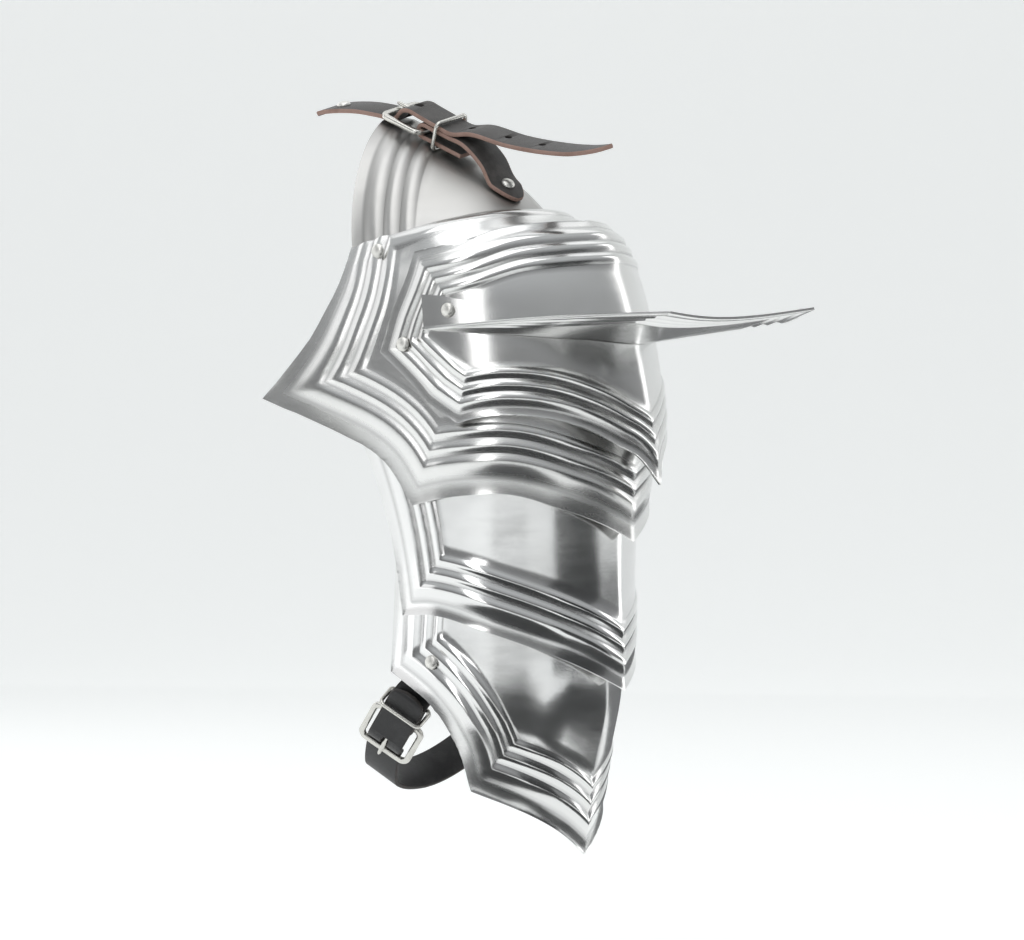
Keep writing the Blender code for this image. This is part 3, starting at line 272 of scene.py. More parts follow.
@dataclass
class Sleeve:
    """Smooth surface through a stack of sections, addressed by girth and by run.

    Attributes:
        crease: Reach and height of the crease at each section.
        fall: Sideways and downward fall of each section.
        half: Half width of each section.
        flare: Spread of the flat wing beside each section.
        keel: How far the crease stands out.
        runs: Run along the crease at each section.
    """

    crease: Array
    fall: Array
    half: Array
    flare: Array
    keel: float
    runs: Array = field(init=False)

    def __post_init__(self) -> None:
        """Measure the run along the crease."""
        steps = np.linalg.norm(np.diff(self.crease, axis=0), axis=1)
        self.runs = np.concatenate(([0.0], np.cumsum(steps)))

    @classmethod
    def body(cls) -> "Sleeve":
        """The sleeve that the plates of the arm lie on.

        Returns:
            The sleeve.
        """
        rows = np.array(SLEEVE_ROWS)
        crease = np.stack((rows[:, 1] * REACH, -rows[:, 0] * DROP), axis=1)
        fall = np.stack(((rows[:, 3] - rows[:, 1]) * REACH, np.zeros(len(rows))), axis=1)
        return cls(crease, fall, rows[:, 2] * HALF, rows[:, 4], ARM_KEEL)

    @classmethod
    def cap(cls) -> "Sleeve":
        """The dome of the cap.

        Returns:
            The sleeve.
        """
        rows = np.array(CAP_ROWS)
        crease = np.stack((rows[:, 0] * REACH, rows[:, 1] * DROP), axis=1)
        fall = np.stack((rows[:, 2] * REACH, rows[:, 3] * DROP), axis=1)
        return cls(crease, fall, rows[:, 4] * HALF, np.zeros(len(rows)), CAP_KEEL)

    def at(self, values: Array, run: Any) -> Array:
        """Values of the sections, carried to a run."""
        return smooth(self.runs, values, run)

    def run_at(self, height: Any) -> Array:
        """Run along the crease at a height."""
        fine = np.linspace(self.runs[0], self.runs[-1], 400)
        return np.interp(-np.asarray(height), -self.at(self.crease[:, 1], fine), fine)

    def girth_at(self, reach: Any, run: Any) -> Array:
        """Girth of the point of a level section that has this reach.

        Args:
            reach: Way out from the arm's axis in millimetres.
            run: Way along the crease in millimetres.

        Returns:
            The girth, 1 where the flat wing starts.
        """
        fall = self.at(self.fall[:, 0], run)
        middle = self.at(self.crease[:, 0], run) + fall
        bent = np.arccos(np.clip((reach - middle) / -fall, 0.0, 1.0)) / (math.pi / 2)
        return np.where(reach > middle, bent, 1 + (middle - reach) / REACH)

    def point(self, girth: Any, run: Any) -> Array:
        """Points of the front half; a negative girth is behind the crease.

        Args:
            girth: Way round from the crease, 1 where the flat wing starts.
            run: Way along the crease in millimetres.

        Returns:
            The points, with one more axis than the inputs.
        """
        girth, run = np.broadcast_arrays(np.asarray(girth, float), np.asarray(run, float))
        side = np.where(girth < 0, 1.0, -1.0)
        girth = np.abs(girth)
        turn = np.minimum(girth, 1.0) * math.pi / 2
        leg = np.maximum(girth - 1.0, 0.0) * REACH
        crease_x, crease_z = (self.at(self.crease[:, k], run) for k in (0, 1))
        fall_x, fall_z = (self.at(self.fall[:, k], run) for k in (0, 1))
        half, flare = self.at(self.half, run), self.at(self.flare, run)
        length = np.hypot(fall_x, fall_z)
        along = (length - self.keel) * (1 - np.cos(turn)) + self.keel * np.sin(turn) + leg
        depth = half * np.sin(turn) + flare * leg ** 2 / (leg + FLARE_START)
        return np.stack((crease_x + along * fall_x / length, side * depth,
                         crease_z + along * fall_z / length), axis=-1)

    def normal(self, girth: Any, run: Any) -> Array:
        """Outward normals, lengthened on the crease so that both halves keep the wall.

        Args:
            girth: Way round from the crease.
            run: Way along the crease in millimetres.

        Returns:
            The normals, of length one away from the crease.
        """
        girth, run = np.broadcast_arrays(np.asarray(girth, float), np.asarray(run, float))
        low = np.where(girth < GIRTH_STEP, girth, girth - GIRTH_STEP)
        across = self.point(girth + GIRTH_STEP, run) - self.point(low, run)
        down = self.point(girth, run + RUN_STEP) - self.point(girth, run - RUN_STEP)
        normal = unit(np.cross(across, down))
        on_crease = girth < 1e-6
        flat = np.hypot(normal[..., 0], normal[..., 2])
        scale = np.where(on_crease, 1 / np.maximum(flat, 0.5) ** 2, 1.0)
        normal[..., 1] = np.where(on_crease, 0.0, normal[..., 1])
        return normal * scale[..., None]


class Socket:
    """A node's output that takes part in Python arithmetic."""

    def __init__(self, tree: "Tree", link: Any) -> None:
        """Keep the tree and the output."""
        self.tree = tree
        self.link = link

    def maths(self, operation: str, first: Any, second: Any = 0.0) -> "Socket":
        """One Math node.

        Args:
            operation: The node's operation.
            first: Socket or number.
            second: Socket or number.

        Returns:
            The node's output.
        """
        return self.tree.make("ShaderNodeMath", {"operation": operation}, {0: first, 1: second})

    def __add__(self, other: Any) -> "Socket":
        """Sum."""
        return self.maths("ADD", self, other)

    __radd__ = __add__

    def __sub__(self, other: Any) -> "Socket":
        """Difference."""
        return self.maths("SUBTRACT", self, other)

    def __rsub__(self, other: Any) -> "Socket":
        """Difference from a number."""
        return self.maths("SUBTRACT", other, self)

    def __mul__(self, other: Any) -> "Socket":
        """Product."""
        return self.maths("MULTIPLY", self, other)

    __rmul__ = __mul__


class Tree:
    """Makes the nodes of one node tree."""

    def __init__(self, tree: Any) -> None:
        """Keep the node tree."""
        self.tree = tree

    def make(self, kind: str, settings: Optional[dict] = None, values: Optional[dict] = None,
             out: Union[int, str] = 0) -> Socket:
        """Add one node.

        Args:
            kind: The node's type.
            settings: Properties to set first; the key stops fills a colour ramp.
            values: Sockets' values or links by name or number.
            out: Which output to return.

        Returns:
            That output.
        """
        node = self.tree.nodes.new(kind)
        for key, value in (settings or {}).items():
            if key == "stops":
                ramp = node.color_ramp
                while len(ramp.elements) < len(value):
                    ramp.elements.new(0.5)
                for stop, (place, colour) in zip(ramp.elements, value):
                    stop.position = place
                    stop.color = (*colour, 1.0)
            else:
                setattr(node, key, value)
        for key, value in (values or {}).items():
            if isinstance(value, Socket):
                self.tree.links.new(value.link, node.inputs[key])
            else:
                node.inputs[key].default_value = value
        return Socket(self, node.outputs[out])

    def blend(self, factor: Any, first: Any, second: Any) -> Socket:
        """Mix of two colours."""
        return self.make("ShaderNodeMix", {"data_type": "RGBA"},
                         {0: factor, 6: first, 7: second}, 2)

    def clamp(self, value: Socket, low: float, high: float) -> Socket:
        """A value kept between two numbers."""
        return self.make("ShaderNodeClamp", None, {"Value": value, "Min": low, "Max": high})


class Surface:
    """A material while its nodes are laid: its tree, its shader and object coordinates."""

    def __init__(self, name: str, constants: dict) -> None:
        """Make the material with a plain shader.

        Args:
            name: The material's name.
            constants: Values of the shader's own sockets.
        """
        self.made = bpy.data.materials.new(name)
        self.made.use_nodes = True
        self.tree = Tree(self.made.node_tree)
        self.shader = self.made.node_tree.nodes["Principled BSDF"]
        for key, value in constants.items():
            self.shader.inputs[key].default_value = value
        self.place = self.tree.make("ShaderNodeTexCoord", out="Object")

    def noise(self, scale: float, detail: float, stretch: Sequence[float] = ()) -> Socket:
        """Noise between 0 and 1.

        Args:
            scale: Its scale.
            detail: Its octaves.
            stretch: Scale along each axis, where they differ.

        Returns:
            The noise.
        """
        place = self.place
        if stretch:
            place = self.tree.make("ShaderNodeMapping", None, {"Vector": place, "Scale": stretch})
        return self.tree.make("ShaderNodeTexNoise", None,
                              {"Vector": place, "Scale": scale, "Detail": detail})

    def dress(self, colour: Socket, rough: Socket, height: Socket, strength: float,
              distance: float) -> Any:
        """Feed the shader.

        Args:
            colour: Base colour.
            rough: Roughness.
            height: Height of the fine relief.
            strength: Strength of that relief.
            distance: Its depth in metres.

        Returns:
            The material.
        """
        bump = self.tree.make("ShaderNodeBump", None,
                              {"Strength": strength, "Distance": distance, "Height": height})
        for key, value in (("Base Color", colour), ("Roughness", rough), ("Normal", bump)):
            self.made.node_tree.links.new(value.link, self.shader.inputs[key])
        return self.made


def paint(shade: Sequence[float], share: float = 1.0) -> tuple:
    """An opaque colour, darkened to a share of its shade."""
    return (*(share * part for part in shade), 1.0)


@dataclass(frozen=True)
class SteelFinish:
    """Polished sheet steel with the fine marks of the buffing wheel and painted shade in its
    grooves.

    Attributes:
        name: The material's name.
        gloss: Roughness of the field of the plate.
        shade: Base colour of the clean steel.
        warmth: How each part of the colour falls where it is clouded.
    """

    name: str
    gloss: float
    shade: tuple = (0.80, 0.80, 0.795)
    warmth: tuple = (0.93, 0.925, 0.90)

    def material(self) -> Any:
        """Build the material.

        Returns:
            The material.
        """
        surface = Surface(self.name, {"Metallic": 1.0})
        tree = surface.tree
        groove, crest = (tree.make("ShaderNodeAttribute", {"attribute_name": name}, out="Fac")
                         for name in ("groove", "crest"))
        cloud = surface.noise(16.0, 3.0)
        smear = surface.noise(34.0, 4.0, (1.0, 1.0, 6.0))
        buffing = surface.noise(1.0, 2.0, (60.0, 60.0, 900.0))
        speck = surface.noise(900.0, 2.0)
        warm = [part * fall for part, fall in zip(self.shade, self.warmth)]
        colour = tree.blend((cloud - 0.35) * 1.4, paint(self.shade), paint(warm))
        # Painted shade: the grooves between the ridges are darkened in the base colour.
        colour = tree.blend(groove * 0.75, colour, paint(self.shade, 0.62))
        rough = self.gloss + (cloud - 0.5) * 0.10 + (smear - 0.5) * 0.10 + (speck - 0.5) * 0.05
        rough = tree.clamp(rough + groove * 0.10 - crest * 0.05, 0.06, 0.6)
        height = buffing * 0.1 + speck * 0.3 + surface.noise(34.0, 2.0) * 9.0
        return surface.dress(colour, rough, height, 0.03, 0.001)


@dataclass(frozen=True)
class NickelFinish:
    """Plated hardware, bright on top and duller where hands and leather rub it.

    Attributes:
        name: The material's name.
        shade: Colour of the metal.
        gloss: Roughness.
    """

    name: str
    shade: tuple
    gloss: float

    def material(self) -> Any:
        """Build the material.

        Returns:
            The material.
        """
        surface = Surface(self.name, {"Metallic": 1.0})
        cloud = surface.noise(120.0, 4.0)
        colour = surface.tree.blend(cloud * 0.9, paint(self.shade), paint(self.shade, 0.72))
        rough = self.gloss + (cloud - 0.5) * 0.22
        return surface.dress(colour, rough, cloud, 0.12, 0.0004)


@dataclass(frozen=True)
class LeatherFinish:
    """Strap leather: a grained, dyed face, or a cut edge with its fibres.

    Attributes:
        name: The material's name.
        shade: Colour of the face.
        worn: Colour where it is rubbed.
        gloss: Roughness.
        grain: Pores per metre.
    """

    name: str
    shade: tuple
    worn: tuple
    gloss: float
    grain: float

    def material(self) -> Any:
        """Build the material.

        Returns:
            The material.
        """
        surface = Surface(self.name, {"Specular IOR Level": 0.45})
        tree = surface.tree
        pores = tree.make("ShaderNodeTexVoronoi", {"feature": "DISTANCE_TO_EDGE"},
                          {"Vector": surface.place, "Scale": self.grain})
        cloud, fine = surface.noise(140.0, 5.0), surface.noise(1600.0, 2.0)
        rub = tree.clamp((cloud - 0.48) * 3.2, 0.0, 1.0)
        colour = tree.blend(rub, paint(self.shade), paint(self.worn))
        colour = tree.blend((fine - 0.3) * 0.35, colour, paint(self.shade, 0.4))
        rough = self.gloss + (cloud - 0.5) * 0.25 + (fine - 0.5) * 0.12
        height = tree.clamp(pores * 6.0, 0.0, 1.0) + fine * 0.4
        return surface.dress(colour, rough, height, 0.35, 0.0002)


@dataclass(frozen=True)
class PaperFinish:
    """Plain matt studio paper.

    Attributes:
        name: The material's name.
        shade: Its colour.
        glow: Strength of its own light.
    """

    name: str
    shade: tuple
    glow: float = 0.0

    def material(self) -> Any:
        """Build the material.

        Returns:
            The material.
        """
        return Surface(self.name, {"Base Color": paint(self.shade), "Roughness": 0.95,
                                   "Emission Color": paint(self.shade),
                                   "Emission Strength": self.glow}).made


class Finish(Enum):
    """The finishes of the pauldron."""

    SATIN = SteelFinish("satin_steel", 0.42, (0.56, 0.555, 0.545))
    WING = SteelFinish("wing_steel", 0.25)
    GUARD = SteelFinish("guard_steel", 0.22)
    LAME = SteelFinish("lame_steel", 0.17, (0.82, 0.82, 0.82))
    RIVET = NickelFinish("rivet_metal", (0.90, 0.89, 0.85), 0.40)
    BUCKLE = NickelFinish("buckle_nickel", (0.74, 0.73, 0.69), 0.26)
    STRAP = LeatherFinish("strap_face", (0.052, 0.048, 0.046), (0.11, 0.102, 0.098), 0.42, 900.0)
    BLACK = LeatherFinish("black_strap_face", (0.012, 0.012, 0.013), (0.03, 0.03, 0.031),
                          0.36, 900.0)
    EDGE = LeatherFinish("strap_cut_edge", (0.36, 0.235, 0.195), (0.24, 0.15, 0.12),
                         0.75, 2200.0)
    BLACK_EDGE = LeatherFinish("black_strap_edge", (0.02, 0.017, 0.016), (0.05, 0.04, 0.035),
                               0.6, 2200.0)
    FLOOR = PaperFinish("studio_paper", (0.82, 0.83, 0.826), 0.40)
    CARD = PaperFinish("dark_card", (0.04, 0.041, 0.042))
    GREY_CARD = PaperFinish("grey_card", (0.17, 0.172, 0.175))


@lru_cache(maxsize=None)
def material_of(finish: Finish) -> Any:
    """The material of a finish, built once."""
    return finish.value.material()


def add_object(name: str, data: Any) -> Any:
    """A new object at the origin of the scene.

    Args:
        name: The object's name.
        data: Its mesh, light or camera.

    Returns:
        The object.
    """
    item = bpy.data.objects.new(name, data)
    bpy.context.scene.collection.objects.link(item)
    return item


def shade_smooth(mesh: Any, sharp: float) -> None:
    """Shade a mesh smooth, but for edges above an angle in degrees."""
    mesh.polygons.foreach_set("use_smooth", [True] * len(mesh.polygons))
    mesh.set_sharp_from_angle(angle=math.radians(sharp))


def evaluated_mesh(item: Any) -> Any:
    """Plain mesh of an object with its modifiers applied."""
    graph = bpy.context.evaluated_depsgraph_get()
    return bpy.data.meshes.new_from_object(item.evaluated_get(graph))


def add_piece(name: str, vertices: Any, faces: Sequence, finishes: Sequence[Finish],
              slots: Optional[Sequence[int]] = None, sharp: float = 38.0) -> Any:
    """Make one mesh object from points in millimetres.

    Args:
        name: The object's name.
        vertices: Points in millimetres.
        faces: Corner numbers of each face.
        finishes: Finishes of its material slots.
        slots: Material slot of each face.
        sharp: Angle in degrees above which an edge stays sharp.

    Returns:
        The object.
    """
    mesh = bpy.data.meshes.new(name)
    mesh.from_pydata([tuple(float(part) * MM for part in point) for point in vertices], [], faces)
    for finish in finishes:
        mesh.materials.append(material_of(finish))
    if slots is not None:
        mesh.polygons.foreach_set("material_index", list(slots))
    shape = bmesh.new()
    shape.from_mesh(mesh)
    bmesh.ops.recalc_face_normals(shape, faces=shape.faces)
    shape.to_mesh(mesh)
    shape.free()
    shade_smooth(mesh, sharp)
    return add_object(name, mesh)


def settle(item: Any, body: str, slot: str, *nodes: str) -> Any:
    """Fix a finished piece to its body and let it stand for its solids.

    Args:
        item: The piece.
        body: Body that it rides on.
        slot: Not used.
        nodes: Solids that it stands for.

    Returns:
        The piece.
    """
    if nodes:
        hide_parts(*nodes)
    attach(item, body)
    LOG.info("%s on %s, %d faces", item.name, body, len(item.data.polygons))
    return item


def sheet_mesh(points: Array, normals: Array, thickness: float) -> tuple:
    """Closed sheet around a grid of middle points, with a softened rim.

    Args:
        points: Grid of middle points.
        normals: Grid of outward normals.
        thickness: Thickness of the sheet.

    Returns:
        Vertices, faces and the number of vertices of one side.
    """
    rows, columns = points.shape[:2]
    outer = (points + normals * thickness / 2).reshape(-1, 3)
    inner = (points - normals * thickness / 2).reshape(-1, 3)
    count = rows * columns
    faces = []
    for row in range(rows - 1):
        for column in range(columns - 1):
            corner = row * columns + column
            cell = (corner, corner + 1, corner + columns + 1, corner + columns)
            faces.append(cell)
            faces.append(tuple(count + k for k in reversed(cell)))
    border = list(range(columns))
    border += [row * columns + columns - 1 for row in range(1, rows)]
    border += [(rows - 1) * columns + column for column in range(columns - 2, -1, -1)]
    border += [row * columns for row in range(rows - 2, 0, -1)]
    middle = points.reshape(-1, 3)
    facing = normals.reshape(-1, 3)
    loop = middle[border]
    along = unit(np.roll(loop, -1, axis=0) - np.roll(loop, 1, axis=0))
    out = np.cross(along, facing[border])
    out /= np.maximum(np.linalg.norm(out, axis=1, keepdims=True), 1e-9)
    first = 2 * count
    brow = loop + out * thickness * RIM_OUT + facing[border] * thickness * RIM_HALF
    heel = loop + out * thickness * RIM_OUT - facing[border] * thickness * RIM_HALF
    total = len(border)
    for k, here in enumerate(border):
        after = border[(k + 1) % total]
        high, high_after = first + k, first + (k + 1) % total
        low, low_after = high + total, high_after + total
        faces.append((after, here, high, high_after))
        faces.append((high_after, high, low, low_after))
        faces.append((low_after, low, count + here, count + after))
    return np.concatenate((outer, inner, brow, heel)), faces, count


def mirrored(points: Array) -> Array:
    """Both halves of a grid of points or ways whose first column is the crease."""
    back = points * np.array((1.0, -1.0, 1.0))
    return np.concatenate((points[:, :0:-1], back), axis=1)


def mirrored_values(values: Array) -> Array:
    """Both halves of a grid of numbers."""
    return np.concatenate((values[..., :0:-1], values), axis=-1)


def nearest(points: Array, line: Array) -> Array:
    """Distance of each point from the nearest point of a finely divided line.

    Args:
        points: Points, in any grid.
        line: Points of the line.

    Returns:
        The distances, in the grid of the points.
    """
    flat = points.reshape(-1, 3)
    best = np.full(len(flat), np.inf)
    for chunk in np.array_split(line, max(1, len(line) // 40)):
        gaps = np.linalg.norm(flat[:, None, :] - chunk[None, :, :], axis=2).min(axis=1)
        best = np.minimum(best, gaps)
    return best.reshape(points.shape[:-1])


def band(ridges: Sequence[float]) -> tuple:
    """Rings of a ridged edge.

    Args:
        ridges: Distances of its three ridges from the edge.

    Returns:
        Places of the rings and their distances from the edge.
    """
    places = ring_places()
    last = 2 * ridges[2] - ridges[1]
    return places, np.interp(places, (0, 1, 2, 3, 4), (0.0, *ridges, last))


def last_ridge_band(distance: float) -> tuple:
    """Rings of an edge that only the third ridge follows.

    Args:
        distance: Distance of that ridge from the edge.

    Returns:
        Places of the rings and their distances from the edge.
    """
    places = ring_places()
    places = places[places >= 2.5]
    return places, np.interp(places, (2.5, 3.0, 3.5), (0.0, distance, 1.6 * distance))


PLAIN_BAND = (np.array([PLAIN]), np.array([0.0]))


@dataclass
class Plate:
    """One ridged plate: outline, ridge lines and its place in the stack of plates.

    Attributes:
        name: Name of the solid that it stands for.
        body: Body that it rides on.
        finish: Its steel.
        sleeve: Surface that it follows.
        top: Run of the top edge by girth.
        bottom: Run of the bottom edge by girth.
        front: Girth and run of each stretch of the front edge.
        bands: Rings of the top, the bottom and the front edge.
        offset: Distance off the sleeve.
        kick: How far its tip kicks out.
        middle_rows: Rows of the field above and below the front's point.
        middle_columns: Columns of the field, from the crease to the front's rings.
        girths: Girths at which its rows are worked out.
        ends: Run of its top and its bottom on the crease.
    """

    name: str
    body: str
    finish: Finish
    sleeve: Sleeve
    top: Edge
    bottom: Edge
    front: list
    bands: tuple
    offset: float = 0.0
    kick: float = 0.0
    middle_rows: tuple = (9, 9)
    middle_columns: int = 26
    girths: Array = field(init=False)
    ends: tuple = field(init=False)

    def front_girth(self, part: tuple, run: Array) -> Array:
        """Girth of one stretch of the front edge at a run."""
        return smooth(part[1], part[0], run)

    def part_distance(self, part: tuple, girth: Array, run: Array) -> Array:
        """Signed distance inside one stretch of the front edge.

        Args:
            part: Girths and runs of the stretch.
            girth: Girths of the points.
            run: Their runs.

        Returns:
            The distances, negative outside the edge.
        """
        span = part[1][-1] - part[1][0]
        line_runs = np.linspace(part[1][0] - 0.6 * span, part[1][-1] + 0.6 * span, 260)
        line = self.sleeve.point(self.front_girth(part, line_runs), line_runs)
        inside = np.sign(self.front_girth(part, run) - girth)
        return inside * nearest(self.sleeve.point(girth, run), line)

    def front_distance(self, girth: Array, run: Array) -> Array:
        """Signed distance inside the whole front edge."""
        return np.min([self.part_distance(part, girth, run) for part in self.front], axis=0)

    def offset_rows(self, edge: Edge, distances: Array, way: int) -> Array:
        """Lines that keep these distances from the top or the bottom edge.

        Args:
            edge: Run of the edge by girth.
            distances: Rising distances from it.
            way: 1 for the top edge, -1 for the bottom edge.

        Returns:
            Runs by girth and distance.
        """
        wide = np.linspace(-0.25, self.girths[-1] + 0.2, 300)
        line = self.sleeve.point(wide, edge(np.abs(wide)))
        steps = np.linspace(0.0, 2.2 * distances[-1] + 1.0, 60)
        runs = edge(self.girths)[:, None] + way * steps[None, :]
        gaps = nearest(self.sleeve.point(self.girths[:, None], runs), line)
        moved = [np.interp(distances, np.maximum.accumulate(gap), steps) for gap in gaps]
        return edge(self.girths)[:, None] + way * np.array(moved)

    def corner_share(self, upper: Array, lower: Array) -> Array:
        """Share of the way down the field where the front's point lies.

        Args:
            upper: Runs of the field's upper row.
            lower: Runs of its lower row.

        Returns:
            The share at each girth.
        """
        if len(self.front) == 1:
            return np.full(len(self.girths), 0.5)
        shares = np.linspace(-0.1, 1.1, 60)
        runs = upper[:, None] + (lower - upper)[:, None] * shares[None, :]
        girths = np.broadcast_to(self.girths[:, None], runs.shape)
        first, second = (self.part_distance(part, girths, runs) for part in self.front)
        found = np.array([np.interp(0.0, row, shares) for row in first - second])
        inner = self.front[0][0][-1] - 1.5 * self.bands[2][1][1][-1] / REACH
        at_inner = np.interp(inner, self.girths, found)
        part = np.clip(self.girths / inner, 0.0, 1.0)
        return np.where(self.girths < inner, 0.5 + (at_inner - 0.5) * part, found)

    def rows(self) -> list:
        """Rows of the front half, from the top edge to the bottom edge.

        Returns:
            Runs by girth, ridge place, and way down from 0 to 2 for each row.
        """
        top_band, bottom_band = self.bands[:2]
        top_rows = self.offset_rows(self.top, top_band[1], 1)
        bottom_rows = self.offset_rows(self.bottom, bottom_band[1], -1)
        upper, lower = top_rows[:, -1], bottom_rows[:, -1]
        share = self.corner_share(upper, lower)
        above, below = self.middle_rows
        steps = [(k / above, 0.0) for k in range(1, above + 1)]
        steps += [(1.0, k / below) for k in range(1, below)]
        rows = [(top_rows[:, k], place, 0.0) for k, place in enumerate(top_band[0])]
        for first, second in steps:
            way = share * first + (1 - share) * second
            rows.append((upper + (lower - upper) * way, PLAIN, first + second))
        for k in reversed(range(len(bottom_band[0]))):
            rows.append((bottom_rows[:, k], bottom_band[0][k], 2.0))
        return rows

    def grid(self) -> tuple:
        """Nodes of the front half.

        Returns:
            Girth, run and ridge place of every node.
        """
        front_bands = self.bands[2]
        rings = front_bands[0][0][::-1]
        widest = max(part[0].max() for part in self.front)
        self.girths = np.linspace(0.0, widest + 0.2, 130)
        keep = self.girths > 0.2
        girth, run, place = [], [], []
        for row, row_place, mix in self.rows():
            distance = self.front_distance(self.girths, row)
            gaps = [np.interp(mix, (0, 1, 2), [one[1][k] for one in front_bands])
                    for k in range(len(rings))]
            cuts = np.interp(gaps, distance[keep][::-1], self.girths[keep][::-1])
            inner = np.linspace(0.0, cuts[-1], self.middle_columns + 1)[:-1]
            row_girth = np.concatenate((inner, cuts[::-1]))
            girth.append(row_girth)
            run.append(np.interp(row_girth, self.girths, row))
            ring = np.concatenate((np.full(len(inner), PLAIN), rings))
            place.append(np.minimum(ring, row_place))
        return np.array(girth), np.array(run), np.array(place)

    def wall(self, girth: Array, run: Array, offset: float) -> tuple:
        """Surface off the sleeve, with the tip kicked out.

        Args:
            girth: Girths of the points.
            run: Their runs.
            offset: Distance off the sleeve.

        Returns:
            Points and normals.
        """
        normals = self.sleeve.normal(girth, run)
        points = self.sleeve.point(girth, run) + normals * offset
        low = np.clip((run - self.ends[0]) / (self.ends[1] - self.ends[0]), 0.0, 1.0)
        points[..., 0] += self.kick * low ** 3 * np.clip(1 - girth, 0.0, 1.0) ** 2
        return points, normals

    def build(self) -> Any:
        """Make the plate, mark its grooves and crests, and let it stand for its solid.

        Returns:
            The plate.
        """
        girth, run, place = self.grid()
        self.ends = (run[0, 0], run[-1, 0])
        points, normals = self.wall(girth, run, self.offset)
        points = points + normals * (RIDGE * relief(place))[..., None]
        vertices, faces, count = sheet_mesh(mirrored(points), mirrored(normals), SHEET)
        item = add_piece(self.name + "_steel", vertices, faces, [self.finish])
        mark(item, mirrored_values(place).reshape(-1), count)
        return settle(item, self.body, "steel", self.name)


def mark(item: Any, place: Array, count: int) -> None:
    """Store where the grooves and the crests of a plate are; the groove mask paints shade into the
    steel's colour.

    Args:
        item: The piece.
        place: Ridge place of each vertex of one side.
        count: Vertices of one side.
    """
    ridged = (place < 3.45).astype(float)
    crest = ridged * np.clip(relief(place) * 1.5 - 0.5, 0.0, 1.0)
    away = np.abs(place - np.round(place))
    # Groove mask for the painted shade in the grooves, 0.4 as strong on the inner side.
    groove = ridged * np.clip((away - 0.34) / 0.16, 0.0, 1.0) * (place > 0.45)
    rim = np.zeros(len(item.data.vertices) - 2 * count)
    for name, values in (("groove", groove), ("crest", crest)):
        layer = item.data.attributes.new(name, "FLOAT", "POINT")
        values = np.concatenate((values, 0.4 * values, rim))
        layer.data.foreach_set("value", values.astype(np.float32))


def level_edge(sleeve: Sleeve, rows: Sequence) -> Edge:
    """Top or bottom edge of a plate.

    Args:
        sleeve: Surface that the plate follows.
        rows: Girth and depth of its points.

    Returns:
        Run of the edge as a function of girth.
    """
    girths = [row[0] for row in rows]
    runs = sleeve.run_at([-row[1] * DROP for row in rows])
    return lambda girth: smooth(girths, runs, girth)


def front_edge(sleeve: Sleeve, parts: Sequence) -> list:
    """Front edge of a plate.

    Args:
        sleeve: Surface that the plate follows.
        parts: Reach and depth of the points of each stretch.

    Returns:
        Girths and runs of each stretch.
    """
    stretches = []
    for rows in parts:
        runs = sleeve.run_at([-row[1] * DROP for row in rows])
        girths = sleeve.girth_at(np.array([row[0] for row in rows]) * REACH, runs)
        stretches.append((girths, runs))
    return stretches


